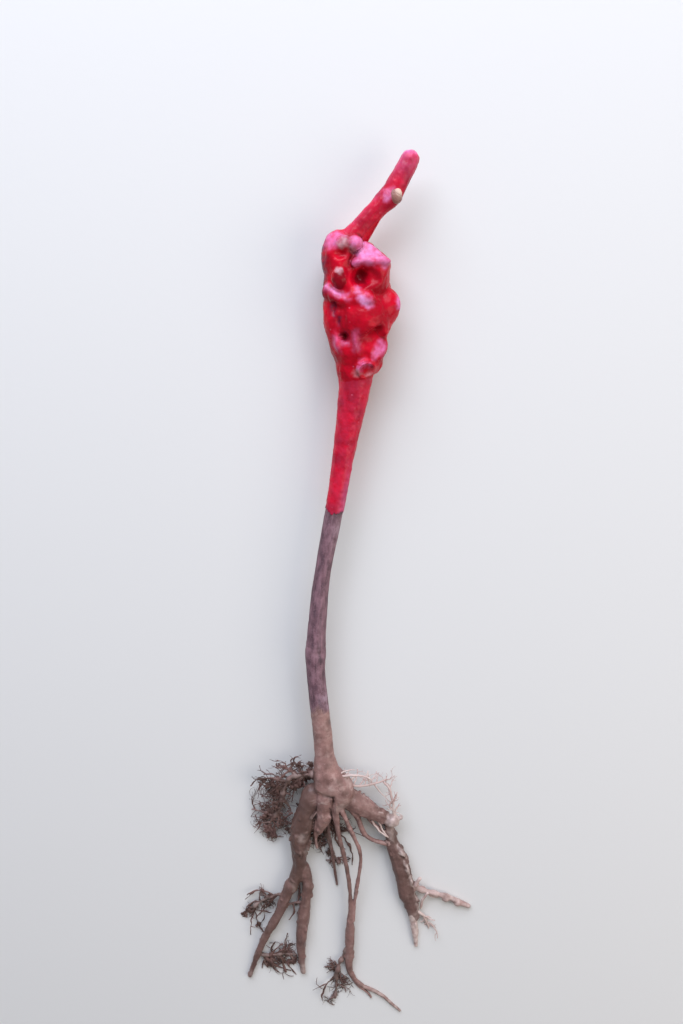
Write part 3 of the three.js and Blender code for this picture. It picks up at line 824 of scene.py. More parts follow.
def clay_film(tree, colours):
    """The colour, roughness and height of a film of wet clay, 0.2 to 1 mm thick, smoothed on by
    water: matt with a damp sheen, darker where it is wet and where shade is painted on, darkest with
    painted shade deep in folds, with grit of about 0.5 mm in it."""
    names = ("hollow", "pale", "damp")
    hollow, pale, damp = [add(tree, "Attribute", attribute_name=name).outputs["Fac"] for name in names]
    place = add(tree, "TexCoord").outputs["Object"]
    patch = add(tree, "TexNoise", {"Vector": place, "Scale": 1 / 0.0075, "Detail": 3.0, "Roughness": 0.55})
    smear = add(tree, "TexNoise", {"Vector": place, "Scale": 1 / 0.0028, "Detail": 3.0})
    grit = add(tree, "TexNoise", {"Vector": place, "Scale": 1 / 0.0007, "Detail": 2.0, "Roughness": 0.6})
    crumbs = add(tree, "TexVoronoi", {"Vector": place, "Scale": 1 / 0.0016})
    tone = coated(
        tree, colours.clay_wet,
        (colours.clay, patch, 0.34, 0.60, 0, 1),
        (colours.clay_dry, smear, 0.48, 0.74, 0, 0.6),
        (colours.clay_wet, grit, 0.46, 0.28, 0, 0.35),
        (colours.clay_dry, crumbs, 0.14, 0.05, 0, 0.45),
        # wet clay, and painted shade on the roots and the side that lie away from the lights
        (colours.clay_damp, damp, 0, 1, 0, 0.8),
        # painted shade deep in folds
        (colours.clay_shade, hollow, 0.3, 0.9, 0, 0.85),
        # scraped roots show their pale skin, more in some places than in others
        (colours.root_skin, smear, 0.30, 0.60, 0.3, 1, pale),
    )
    gloss = {"Value": patch, "From Min": 0.36, "From Max": 0.66, "To Min": 0.40, "To Max": 0.62}
    gloss = add(tree, "MapRange", gloss)
    height = {"Value": grit, "Value_001": 0.3, "Value_002": smear}
    return tone, gloss, add(tree, "Math", height, operation="MULTIPLY_ADD")


def clay_coated_root(tree, colours):
    """Root bark under wet clay. The clay hides the bark, so the eye gets smooth brown mud, with
    grit in it and pale scraped skin at the tips."""
    tone, gloss, height = clay_film(tree, colours)
    grain = add(tree, "Bump", {"Height": height, "Strength": 0.5, "Distance": 0.0005})
    return add(tree, "BsdfPrincipled", {
        "Base Color": tone, "Roughness": gloss, "IOR": 1.4, "Normal": grain,
        "Coat Weight": 0.12, "Coat Roughness": 0.3,
    })


def one_year_cane_bark(tree, colours):
    """The bark of a one-year-old vine cane: thin, grown lengthwise in strips of about 1 mm, and
    mealy with dried soil. It gives a mauve brown, mottled over 2 to 4 mm and faintly streaked, a
    lilac grey bloom in places, painted stronger on the side towards +X as painted light, and clay that
    thins out from the crown upwards."""
    run = add(tree, "Attribute", attribute_name="straight").outputs["Vector"]
    clay, bloom = [add(tree, "Attribute", attribute_name=name).outputs["Fac"] for name in ("clay", "bloom")]
    drawn = add(tree, "Mapping", {"Vector": run, "Scale": (1, 1, 0.09)})
    squat = add(tree, "Mapping", {"Vector": run, "Scale": (1, 1, 0.5)})
    strips = add(tree, "TexNoise", {"Vector": drawn, "Scale": 1 / 0.0011, "Detail": 4.0, "Roughness": 0.6})
    mottle = add(tree, "TexNoise", {"Vector": squat, "Scale": 1 / 0.0030, "Detail": 4.0, "Roughness": 0.62})
    meal = add(tree, "TexNoise", {"Vector": run, "Scale": 1 / 0.0006, "Detail": 2.0, "Roughness": 0.7})
    pores = add(tree, "TexVoronoi", {"Vector": squat, "Scale": 1 / 0.0021})
    tone = coated(
        tree, colours.bark_dark,
        (colours.bark, mottle, 0.36, 0.62, 0, 1),
        (colours.bark_furrow, strips, 0.50, 0.34, 0, 0.65),
        (colours.bark_rib, strips, 0.54, 0.72, 0, 0.5),
        (colours.bark_rib, meal, 0.52, 0.70, 0, 0.45),
        # grey bloom, with painted light on the side towards +X
        (colours.bark_bloom, mottle, 0.44, 0.62, 0, 1, bloom),
        (colours.bark_rib, pores, 0.15, 0.06, 0, 0.6),
    )
    mud, mud_gloss, mud_height = clay_film(tree, colours)
    # the film's edge breaks up along the strips
    edge = {"Value": mottle, "Value_001": 0.9, "Value_002": clay}
    edge = add(tree, "Math", edge, operation="MULTIPLY_ADD")
    cover = add(tree, "MapRange", {"Value": edge, "From Min": 0.80, "From Max": 1.04})
    tone = add(tree, "Mix", {"Factor": cover, "A": tone, "B": mud}, data_type="RGBA")
    gloss = add(tree, "Mix", {"Factor": cover, "A": 0.62, "B": mud_gloss}, data_type="FLOAT")
    height = add(tree, "Mix", {"Factor": cover, "A": strips, "B": mud_height}, data_type="FLOAT")
    grain = add(tree, "Bump", {"Height": height, "Strength": 0.5, "Distance": 0.0004})
    grain = add(tree, "Bump", {"Height": meal, "Strength": 0.3, "Distance": 0.0002, "Normal": grain})
    surface = {"Base Color": tone, "Roughness": gloss, "IOR": 1.45, "Normal": grain}
    return add(tree, "BsdfPrincipled", surface)


def rootlet_skin(tree, low, high, skin):
    """The skin of a fine root: soft and matt. Its joined pieces are too small for a pattern, so a
    slow drift between two browns is all that they have, and paler skin where a stem is clean."""
    place = add(tree, "TexCoord").outputs["Object"]
    pale = add(tree, "Attribute", attribute_name="pale").outputs["Fac"]
    drift = add(tree, "TexNoise", {"Vector": place, "Scale": 1 / 0.006, "Detail": 2.0})
    tone = coated(tree, low, (high, drift, 0.36, 0.64, 0, 1))
    tone = add(tree, "Mix", {"Factor": pale, "A": tone, "B": skin}, data_type="RGBA")
    return add(tree, "BsdfPrincipled", {"Base Color": tone, "Roughness": 0.62, "IOR": 1.4})


def muddy_rootlet(tree, colours):
    """A fine root with mud on it, dark and wet."""
    return rootlet_skin(tree, colours.clay_damp, colours.clay_wet, colours.root_skin)


def pale_rootlet(tree, colours):
    """A fine root washed nearly clean, so that its own pale skin shows."""
    return rootlet_skin(tree, colours.clay_dry, colours.root_skin, colours.root_skin)


def winter_bud_scales(tree, colours):
    """The scales of a winter bud, horny and brown, which part at the tip over pale felt."""
    place = add(tree, "TexCoord").outputs["Object"]
    tip, edge = [add(tree, "Attribute", attribute_name=name).outputs["Fac"] for name in ("tip", "edge")]
    fibre = add(tree, "TexNoise", {"Vector": place, "Scale": 1 / 0.0007, "Detail": 3.0, "Roughness": 0.6})
    felt = {"Value": fibre, "Value_001": 0.7, "Value_002": tip}
    felt = add(tree, "Math", felt, operation="MULTIPLY_ADD")
    felted, dark = (colours.bud_felt, felt, 0.60, 1.2, 0, 1), (colours.bud_edge, edge, 0.2, 1.0, 0, 0.7)
    tone = coated(tree, colours.bud, felted, dark)
    gloss = {"Value": felt, "From Min": 0.60, "From Max": 1.2, "To Min": 0.36, "To Max": 0.8}
    gloss = add(tree, "MapRange", gloss)
    grain = add(tree, "Bump", {"Height": fibre, "Strength": 0.4, "Distance": 0.0002})
    surface = {"Base Color": tone, "Roughness": gloss, "IOR": 1.45, "Normal": grain}
    return add(tree, "BsdfPrincipled", surface)


def painted_board(tree, colours):
    """A painted board, rolled on: an even pale grey with almost no gloss."""
    place = add(tree, "TexCoord").outputs["Object"]
    roller = add(tree, "TexNoise", {"Vector": place, "Scale": 1 / 0.004, "Detail": 3.0})
    grain = add(tree, "Bump", {"Height": roller, "Strength": 0.06, "Distance": 0.0005})
    return add(tree, "BsdfPrincipled", {"Base Color": colours.floor, "Roughness": 0.75, "Normal": grain})


# Waxed graft

# The straight middle line that the union's rays leave, how far they reach, and their number
UNION_MIDDLE = [[13.4, 201, 12.8], [13.8, 248, 13.8]]
UNION_REACH = [13, 19, 20, 20, 19]
UNION_SIDES = 300
LUMP_EXTRA = 1.2  # how far a small lump's surface may lie outside its ellipsoid
BUD_AXIS = [0.60, 0.60, 0.52]  # the way that the spur's bud points
# Its scales: how far up the axis each ends, how much that goes round with the angle, and its step
BUD_SCALES = [(0.30, 0.30, 0.07), (0.52, -0.26, 0.05)]
BEAD_SOFT = 1.2  # how widely a bead runs into the wax below it
HOLLOW_SOFT = 0.4  # and a hollow into what is round it, as a share of the fillet
# Finer forms of the union, on top of the solid's: facets that the wax has set over cut wood, each
# with a point on it, the way it faces, its reach and its softness, beads where it has run, and
# slits and pits where it hasn't closed
UNION_FACETS = [
    ([20, 248, 23.4], [0.08, 0.58, 0.81], 10, 0.5),  # top of the block
    ([22.9, 252.0, 17], [0.62, 0.76, 0.1], 8, 0.7),  # its far side
    ([23.6, 212.4, 21.2], [0.5, 0.3, 0.81], 9, 1.6),  # lower right
    ([4, 256.5, 21.4], [-0.42, 0.5, 0.76], 7, 1.5),  # top of the head
]
UNION_BEADS = [
    Lump([13.4, 215.4, 22.7], [1.3, 4.6, 1.8]),  # runs of wax down the front
    Lump([5.9, 214.4, 20.6], [1.5, 4.2, 2.1], turn=8),
    Lump([9.6, 211.6, 20.8], [2.2, 3.2, 1.8]),
    Lump([18.2, 232.8, 23.4], [3.2, 2.6, 2.0], turn=-20),
    Lump([13.8, 236.2, 21.6], [2.2, 2.4, 2.2]),
    Lump([2.2, 235.2, 19.2], [2.6, 3.6, 2.8], turn=10),  # the ledge's left end
    Lump([24.6, 222.5, 19.4], [2.2, 5.6, 2.6], turn=14),
    Lump([14.2, 247.2, 21.8], [3.0, 2.2, 2.4], turn=20),  # the block's left corner
    Lump([21.2, 247.8, 21.2], [6.4, 2.6, 3.0], turn=-3),  # its rounded front edge
]
UNION_PITS = [
    Lump([17.8, 241.8, 27.4], [7.6, 5.0, 6.0], turn=-12, soft=2.0),  # scooped front
    Lump([14.9, 241.2, 23.4], [2.9, 3.4, 5.6], turn=15, soft=2.6),  # deep hole
    Lump([7.6, 250.4, 24.8], [3.4, 2.3, 3.4], soft=1.4),
    Lump([4.3, 228.4, 23.6], [0.8, 2.6, 2.8], turn=-6, soft=1.5),  # slits in the ridge
    Lump([6.2, 223.1, 24.6], [0.7, 2.0, 2.6], turn=4, soft=1.5),
    Lump([8.5, 216.8, 23.2], [1.6, 1.8, 3.9], soft=1.0),
]
# Where the wax is rubbed cloudy, with painted pink and lilac sheen on the facets that face the light, where
# it is thin, with painted purple shade on the left flank, and where it leaves bare tissue. much is how
# strong that is in the middle, and soft how many millimetres it takes to fade
BLOOM_SPOTS = [
    Lump([19.4, 250.6, 20.8], [8.6, 4.6, 4.6], turn=-30, much=0.9, soft=2.2, lilac=0.35),
    Lump([14.4, 247.4, 23.0], [3.2, 1.8, 3], turn=20, much=0.8, soft=2.4),
    Lump([20.2, 247.6, 23.0], [6.0, 1.6, 3], turn=-6, much=0.7, soft=2.6),
    Lump([19.0, 252.2, 20.8], [5.0, 2.2, 4.6], turn=-30, much=0.9, soft=2.2, lilac=0.5),
    Lump([23.4, 211.8, 21], [4.4, 2.2, 3.6], turn=48, much=0.8, soft=2.4),
    Lump([17.0, 231.9, 25], [3.2, 2.3, 3.4], turn=-30, much=0.9, soft=2.6, lilac=0.8),
    Lump([14.0, 236.2, 24], [1.4, 1.7, 3], much=0.7, soft=1.8, lilac=0.7),
    Lump([4.6, 235.7, 22], [5.4, 1.6, 4], turn=-27, much=0.8, soft=2.4, lilac=0.7),
    Lump([9.4, 233.5, 24], [2.2, 1.5, 3], turn=-20, much=0.6, soft=2.2, lilac=0.5),
    Lump([13.6, 215.4, 25], [1.3, 4.2, 2], much=0.4, soft=3.0),
    Lump([2.6, 257.4, 20.4], [5.2, 4.4, 5], much=0.8, soft=4.0),
    Lump([12.9, 255.0, 23.4], [3.0, 2.9, 3], much=0.75, soft=2.6, lilac=0.25),
    Lump([9.4, 257.8, 22], [3.4, 1.7, 3], much=0.5, soft=2.4, lilac=0.3),
    Lump([31.6, 231.4, 14.6], [1.6, 4.4, 4], much=0.8, soft=2.4),
    Lump([4.6, 213.6, 22], [1.7, 4.4, 3], much=0.45, soft=3.0),
    Lump([8.8, 214.2, 22], [2.4, 0.9, 3], much=0.5, soft=1.6, lilac=0.6),
    Lump([16.2, 206.4, 22], [1.6, 1.9, 4], turn=20, much=0.6, soft=1.6),
    Lump([14.6, 203.6, 22], [1.5, 1.2, 4], much=0.7, soft=1.4),
    Lump([18.9, 205.4, 22], [0.9, 1.8, 4], turn=-20, much=0.5, soft=1.4),
]
THIN_SPOTS = [
    # painted purple shade on the left flank
    Lump([-1.2, 244, 13], [2.8, 15, 11], much=0.9, soft=3.0),
    Lump([4.2, 228.4, 22.6], [1.1, 3.2, 3.6], turn=-6, much=0.8, soft=1.8),
    Lump([6.1, 223.1, 23], [1.0, 2.6, 3], much=0.8, soft=1.6),
    Lump([8.4, 216.8, 22.6], [2.0, 2.0, 3.6], much=0.8, soft=2.2),
    Lump([10, 238, 2], [9, 8, 3], much=0.7, soft=5),
    Lump([20.0, 204.6, 22], [0.8, 1.4, 4], turn=-10, much=0.6, soft=1.6),
]
BARE_SPOTS = [
    Lump([8.1, 255.0, 23.6], [2.2, 1.8, 2.2], turn=20, much=0.8, soft=2.2),
    Lump([11.6, 252.6, 22.6], [1.8, 1.0, 2.2], turn=-30, much=0.6, soft=2.0),
    Lump([6.6, 244.2, 24.8], [1.4, 1.1, 1.8], much=0.8, soft=1.4),
    Lump([14.4, 201.8, 21], [2.5, 1.1, 3], turn=-24, much=0.45, soft=1.6),
    Lump([19.6, 201.4, 21], [2.0, 1.1, 3], turn=30, much=0.5, soft=1.6),
    Lump([22.0, 203.6, 20], [0.8, 1.8, 3], turn=-14, much=0.3, soft=1.6),
]
# The spur's joint, with painted lilac sheen round its bud as if rubbed chalky
SPUR_JOINT = [Lump([27.0, 273.6, 18.4], [2.0, 3.4, 3.0], turn=-20, much=0.7, soft=2.4)]
# Where the wax lies in shadow
DARK_SPOTS = [
    Lump([6.9, 240.4, 24.4], [3.3, 4.2, 3.6], much=0.75, soft=2.0),  # the union's bud
    Lump([15.2, 241.0, 20], [3.4, 4.0, 6.5], turn=10, much=0.85, soft=3.2),  # deep hole
    Lump([21.0, 243.6, 21], [6.0, 3.0, 5], turn=-8, much=0.35, soft=3.0),  # block's front
    Lump([7.4, 250.2, 23], [2.8, 1.8, 3], much=0.5, soft=1.8),  # under the scar
    Lump([10.0, 254.6, 22], [0.9, 2.6, 3], turn=-8, much=0.4, soft=1.4),
]


def facet_gap(where, at, toward, reach, soft):
    """The gap to the half space beyond a plane, kept within a ball round a point on it."""
    away = where - CROWN - at
    return -fuse(away @ unit(np.array(toward)), reach - np.linalg.norm(away, axis=1), soft)


def union_gap(where, fillet):
    """The gap to the union alone: its lumps fused, its hollows and facets carved out, beads put on
    and pits cut."""
    gap = lump_gap(where, UNION_LUMPS[0])
    for lump in UNION_LUMPS[1:]:
        gap = fuse(gap, lump_gap(where, lump), fillet)
    for lump in UNION_HOLLOWS:
        gap = carve(gap, lump_gap(where, lump), lump.soft or fillet * HOLLOW_SOFT)
    for at, toward, reach, soft in UNION_FACETS:
        gap = carve(gap, facet_gap(where, at, toward, reach, soft), soft)
    for lump in UNION_BEADS:
        gap = fuse(gap, lump_gap(where, lump), BEAD_SOFT)
    for lump in UNION_PITS:
        gap = carve(gap, lump_gap(where, lump), lump.soft)
    return gap


NECK_SUNK = 9  # how far the neck runs on into the union
NECK_TOP = 24  # how much of the neck below the union is in its skin
NECK_LAP = 8  # how far below the neck's lower edge its own skin begins
JAG = 1.5  # how far the neck's lower edge is drawn out here and there
JAG_MEAN = 0.4  # and everywhere
JAG_FADE = 8  # above the edge, where that has faded away
SPUR_RIBS = 0.2  # the height of the wood's ribs under the spur's wax
RIM = 0.5  # the height of the rim of the stub's face
DISH = 0.6  # the depth of the face inside the rim, and of the lumps in it
DISH_LUMPS = 0.45
# The swelling of the spur that its bud sits in
BUD_CUSHION = Lump([28.1, 272.2, 17.2], [3.1, 4.2, 2.7], turn=-32)


def neck_line(start):
    """The cane's middle line from a distance up it to the neck's end inside the union."""
    return longer(cane_stretch(start, CANE_LENGTH), 0, NECK_SUNK)


def neck_radii(start):
    """The radii along that line."""
    share = (np.linspace(start, CANE_LENGTH + NECK_SUNK, 24) - BARE_LENGTH) / (CANE_LENGTH - BARE_LENGTH)
    return along(NECK_RADII, np.clip(share, 0, 1))


def wax_skin(sizes):
    """Everything under the wax: the union, the neck below it, the spur and what else stands out."""
    fillet = sizes.wax_fillet / MM
    skin = Skin()
    corners = [CROWN + lump.at + sign * np.array(lump.half) for lump in UNION_LUMPS for sign in (-1, 1)]
    low, high = np.min(corners, 0), np.max(corners, 0)
    skin.add("union", lambda where: union_gap(where, fillet), low, high, fillet)
    foot = CANE_LENGTH - NECK_TOP
    skin.add_tube("neck", neck_line(foot), neck_radii(foot), fillet, stretches=12)
    skin.add_tube("spur", route(SPUR), SPUR.radii, soft=fillet * 1.2)
    skin.add_tube("stub", route(STUB), STUB.radii, soft=0.9, stretches=8, flat_end=True)
    skin.add_lump("knob", UNION_KNOB, soft=0.9)
    skin.add_lump("bud", UNION_BUD, soft=0.8)
    skin.add_lump("cut", UNION_CUT, soft=1.2)
    skin.add_lump("cushion", BUD_CUSHION, soft=1.6, own_surface=False)
    return skin


def wax_relief(points, depth):
    """The height of the wax's own unevenness: slow swells, runs drawn out along the cane, and a
    fine orange peel."""
    swell = rough(points, 3.4, 3, 2)
    runs = noise(points, np.array([1.5, 6.0, 1.5]), 9)
    peel = rough(points, 0.9, 14, 2)
    return depth * (swell + 0.55 * runs + 0.28 * peel)


def finish_wax(mesh, skin, own, relief):
    """Gives a waxed piece its relief and the numbers that its material reads."""
    points, _ = points_of(mesh)
    hollow = hollowness(mesh, skin, own, LIFTED["wax"])
    raise_points(mesh, wax_relief(points, relief) * (1 - 0.6 * hollow))
    shade = spotted(points, DARK_SPOTS)
    chalky = [replace(spot, much=spot.lilac) for spot in BLOOM_SPOTS if spot.lilac]
    paint(
        mesh,
        hollow=np.maximum(hollow, shade), bloom=spotted(points, BLOOM_SPOTS) * (1 - shade),
        lilac=spotted(points, chalky), thin=spotted(points, THIN_SPOTS), bare=spotted(points, BARE_SPOTS),
    )


def make_union(sizes, colours):
    """The union's surface: where rays square to its length, and out of its ends, meet its skin.
    Their middle line is straight, so that no two rings of rays cross."""
    skin = wax_skin(sizes)
    middle = longer(np.array(UNION_MIDDLE) + CROWN, UNION_REACH[0], UNION_REACH[-1])
    grid = limb_grid(middle, UNION_REACH, sizes.wax_cell / MM, sides=UNION_SIDES)
    mesh = mesh_of("graft_union_wax", wrap(grid, skin, "union", extra=0), *grid.faces)
    finish_wax(mesh, skin, "union", sizes.wax_relief / MM)
    dress(mesh, grafting_wax, colours, "graft_union")


def make_neck(sizes, colours):
    """The waxed neck: a tube whose lower edge is drawn out unevenly, by up to a millimetre or so,
    and fades into the bark."""
    skin = wax_skin(sizes)
    line = neck_line(BARE_LENGTH)
    grid = limb_grid(line, neck_radii(BARE_LENGTH), CELLS["neck"], ends=("flat", "round"))
    below = BARE_LENGTH - NECK_LAP
    skin.add_tube("whole_neck", neck_line(below), neck_radii(below), sizes.wax_fillet / MM, stretches=40)
    del skin.shapes["neck"]
    points = wrap(grid, skin, "whole_neck")
    rounded = np.stack([np.cos(grid.angle), np.sin(grid.angle), grid.place * 0.02], 1)
    jag = JAG * rough(rounded * 4, 2.6, 21, 3) + JAG_MEAN
    points += unit(line[1] - line[0]) * (jag * (1 - ease(grid.place, 0, JAG_FADE)))[:, None]
    mesh = mesh_of("waxed_neck_film", points, *grid.faces)
    hollow = hollowness(mesh, skin, "whole_neck", LIFTED["wax"])
    relief = wax_relief(points, sizes.wax_relief / MM * RELIEF["neck"])
    raise_points(mesh, relief * ease(grid.place, 0, 2.5) * grid.close)
    # near the lower edge, the side towards +X, where the fill light falls, gets painted sheen as rubbed
    # bloom, and thin wax
    worn = (1 - ease(grid.place, 6, 30)) * ease(points[:, 0] - grid.origin[:, 0], 0.5, 4)
    rim = 1 - ease(grid.place, 0, 1.4)
    paint(mesh, hollow=hollow, bloom=0.08 + 0.34 * worn, thin=0.35 * worn + 0.5 * rim)
    dress(mesh, grafting_wax, colours, "waxed_neck")


def make_spur(sizes, colours):
    """The scion spur: a tube with the cane's ribs showing through the wax, fused to the head."""
    skin = wax_skin(sizes)
    grid = limb_grid(route(SPUR), SPUR.radii, CELLS["spur"])
    points = wrap(grid, skin, "spur")
    mesh = mesh_of("scion_spur_wax", points, *grid.faces)
    hollow = hollowness(mesh, skin, "spur", LIFTED["spur"])
    ribs = noise(straightened(grid), np.array([1.3, 1.3, 15]), 31) * SPUR_RIBS
    raise_points(mesh, wax_relief(points, sizes.wax_relief / MM * RELIEF["spur"]) + ribs)
    # painted sheen: the upper part and the side towards the sky light are paler, as if rubbed
    upper = ease(grid.place, 30, 47)
    outer = ease(points[:, 1] - grid.origin[:, 1], 0.5, 4)
    joint = spotted(points, SPUR_JOINT)
    bloom = np.maximum(0.04 + 0.5 * upper * outer + 0.25 * upper + 0.25 * outer, joint)
    paint(mesh, hollow=hollow, bloom=bloom, lilac=joint, thin=np.full(len(points), 0.1))
    dress(mesh, grafting_wax, colours, "scion_spur")


def make_stub(sizes, colours):
    """The pruned stub: a short tube that ends flat, with wax over nearly all of its cut face. What
    stays bare is the callus at the rim. The face has a raised rim and a dished, lumpy middle."""
    skin = wax_skin(sizes)
    grid = limb_grid(route(STUB), STUB.radii, CELLS["stub"], ends=("flat", "flat"))
    points = wrap(grid, skin, "stub", extra=LUMP_EXTRA)
    rim = RIM * ease(grid.close, 0.5, 0.8) * (1 - ease(grid.close, 0.9, 1.0))
    dish = (DISH_LUMPS * noise(points, 2.4, 61) - DISH) * (1 - ease(grid.close, 0.15, 0.8))
    on_face = grid.place > grid.place.mean()
    points += grid.direction[-1] * (on_face * (rim + dish))[:, None]
    mesh = mesh_of("pruned_stub_wax", points, *grid.faces)
    finish_wax(mesh, skin, "stub", sizes.wax_relief / MM * RELIEF["stub"])
    dress(mesh, grafting_wax, colours, "pruned_stub")


def make_lump(sizes, colours, name, lump, own, slot, node):
    """A lump of the union under its wax: rays from its centre out to the skin."""
    skin = wax_skin(sizes)
    grid = ball_grid(lump.at, lump.half, CELLS["lump"], lump.turn)
    mesh = mesh_of(name, wrap(grid, skin, own, extra=LUMP_EXTRA), *grid.faces)
    finish_wax(mesh, skin, own, sizes.wax_relief / MM * RELIEF["lump"])
    dress(mesh, grafting_wax, colours, node)


def make_bud(colours):
    """A winter bud: an ellipsoid drawn out to a point along its axis. Two scales lap it, each
    ending in a step whose place along the axis goes round with the angle."""
    grid = ball_grid(SPUR_BUD.at, SPUR_BUD.half, CELLS["bud"], SPUR_BUD.turn)
    axis = unit(np.array(BUD_AXIS))
    side = unit(np.cross(axis, [1.0, 0, 0]))
    up_bud = grid.direction @ axis
    angle = np.arctan2(grid.direction @ np.cross(axis, side), grid.direction @ side)
    past = [up_bud - end - slant * np.cos(angle) for end, slant, _ in BUD_SCALES]
    steps = sum(step * (1 - ease(one, -0.02, 0.05)) for one, (_, _, step) in zip(past, BUD_SCALES))
    size = 0.9 + steps + 0.10 * ease(up_bud, 0.6, 1.0) ** 2 + 0.02 * noise(grid.direction, 0.22, 4)
    points = grid.origin + grid.direction * (grid.radius * np.minimum(size, 1.06))[:, None]
    mesh = mesh_of("spur_bud_scales", points, *grid.faces)
    edge = sum(bump(one, 0.02, 0.05) for one in past)
    paint(mesh, tip=ease(up_bud, 0.2, 1.1), edge=np.clip(edge, 0, 1))
    dress(mesh, winter_bud_scales, colours, "spur_bud")


# Rootstock, crown and roots under clay

CLAY_TOP = (34.0, 52.0)  # how far up the cane the film of clay is whole, and where it ends
CANE_FOOT = 4.0  # where the cane's own surface starts, inside the crown
BARK_LAP = 3  # how far the bark runs up under the wax
CANE_LAP = 10  # and how far the cane does in the clay's skin
CROWN_BOX = ([-10, -12, 3], [13, 18, 20])  # round the crown's lumps
RIDGE_SOFT = 0.6  # how widely a ridge runs into the clay below it
BARK_UNDER = 0.25  # the wax film's thickness where it laps the bark
CANE_SIDES = 128
# The middle line that the crown's rays leave, how far they reach, and their number
CROWN_MIDDLE = [[0.6, -4.5, 11.4], [1.0, 3, 12], [0.8, 8, 12]]
CROWN_REACH = 13
CROWN_SIDES = 260
CANE_NODE = 72.0  # the joint of the cane, where its bud was cut out before planting
JOINT_SWELL = 0.42  # how much the cane swells there
JOINT_GROOVE = 0.12  # the depth of the groove just above it
SCAR_DEPTH = 0.7  # where the bud was cut out
BLOOM_OVER_CLAY = (47, 6)  # the middle and the width of the bloom just above the clay
BLOOM_UNDER_WAX = (118, 136)  # where the bloom below the wax starts and is whole
# What lies on the clay, and the grooves between the crown's lobes
CLAY_RIDGES = [
    Lump([-6.3, -13.8, 12.6], [0.6, 2.6, 1.1], turn=-28),  # a curled tab of root skin
    Lump([4.4, -5.6, 15.2], [0.8, 5.2, 1.1], turn=4),  # the right shoulder's edge
    Lump([32.3, -19.4, 7.6], [3.7, 3.6, 3.3]),  # the nub, and its point
    Lump([36.2, -18.0, 7.6], [1.7, 0.9, 0.9], turn=27),
    Lump([-15.6, -24.4, 8.6], [1.6, 4.2, 1.8], turn=10),  # folds on the left root
    Lump([-8.4, -32.6, 9.0], [0.9, 3.8, 1.4], turn=-14),
    Lump([-12.8, -34.4, 10.2], [0.8, 4.6, 0.9], turn=8),
    Lump([-9.8, -20.4, 11.6], [0.9, 4.6, 1.0], turn=-22),
    Lump([37.6, -37.8, 7.4], [1.3, 3.2, 1.5], turn=26, square=1.4),  # flaps on the right
    Lump([40.2, -46.8, 6.6], [1.0, 4.6, 1.5], turn=16, square=1.3),
    Lump([42.8, -55.2, 5.4], [1.1, 3.2, 1.5], turn=10, square=1.3),
    Lump([43.6, -58.6, 3.8], [2.2, 1.9, 1.8], turn=-40),  # knobs of the right branch
    Lump([48.2, -61.6, 3.2], [2.4, 1.9, 1.8], turn=-20),
    Lump([54.4, -64.0, 3.0], [2.4, 1.8, 1.7], turn=-14),
    Lump([60.6, -67.0, 2.4], [2.2, 2.0, 1.9], turn=-26),
    Lump([66.6, -70.2, 2.0], [1.8, 1.7, 1.6]),
]
CLAY_GROOVES = [
    Lump([-2.8, 0.4, 16.6], [2.3, 0.6, 1.2], turn=-36, soft=0.9),  # under the heel
    Lump([0.9, -1.0, 16.8], [2.6, 0.6, 1.2], turn=-6, soft=0.9),
    Lump([3.7, -6.8, 16.4], [0.5, 6.2, 2.6], soft=1.0),  # right of the front lobe
    Lump([-5.2, -10.4, 13.8], [0.4, 9.2, 2.0], turn=-2, soft=1.2),  # and left of it
]
# Skin of the root that shows pale through the clay
PALE_SPOTS = [
    Lump([-3.4, -5.1, 15.2], [4.2, 0.35, 2.0], turn=-3, much=0.45, soft=0.7),
    Lump([-6.3, -13.8, 13.2], [0.7, 2.6, 1.8], turn=-28, much=0.5, soft=1.0),
    Lump([1.4, 2.6, 16.6], [2.8, 3.6, 2.0], turn=-20, much=0.3, soft=3.0),
    Lump([10.8, 5.0, 13.6], [1.0, 3.6, 3.0], turn=24, much=0.4, soft=1.6),
    Lump([7.4, -5.6, 15.6], [2.2, 4.6, 2.4], turn=-6, much=0.3, soft=2.6),
    Lump([37.7, -37.6, 8.0], [1.2, 3.2, 2.4], turn=26, much=0.9, soft=0.9),  # flaps
    Lump([40.5, -46.8, 7.2], [0.7, 4.6, 2.4], turn=16, much=0.8, soft=0.9),
    Lump([43.1, -55.2, 6.0], [0.9, 3.2, 2.4], turn=10, much=0.8, soft=0.9),
    Lump([32.8, -19.2, 8.4], [4.0, 3.8, 4.0], much=0.75, soft=2.0),  # the nub
    Lump([32.0, -27.4, 8.0], [1.8, 4.0, 4.0], turn=8, much=0.5, soft=2.4),
    Lump([-11.6, -26.6, 10.6], [1.8, 2.8, 3.0], much=0.35, soft=2.6),
    Lump([-8.8, -36.4, 8.6], [1.4, 2.6, 3.0], much=0.4, soft=2.2),
]


def crown_gap(where):
    """The gap to the crown alone: the end of the cane, and the crown's lumps fused to it."""
    gap = tube_gap(where, cane_stretch(4.6, 14, 8), along(BARE_RADII, np.linspace(0.04, 0.11, 8)))
    for lump in CROWN_LUMPS:
        gap = fuse(gap, lump_gap(where, lump), lump.soft)
    return gap


# Flakes of clay and bark that stand off one edge of a root: their seed and number, the shares of
# the root's length where they start and end, and their scale
FLAKES = {"root_right_lower": (5, 8, 0.28, 0.92, 1.25), "root_right_main": (9, 8, 0.24, 0.80, 0.6)}


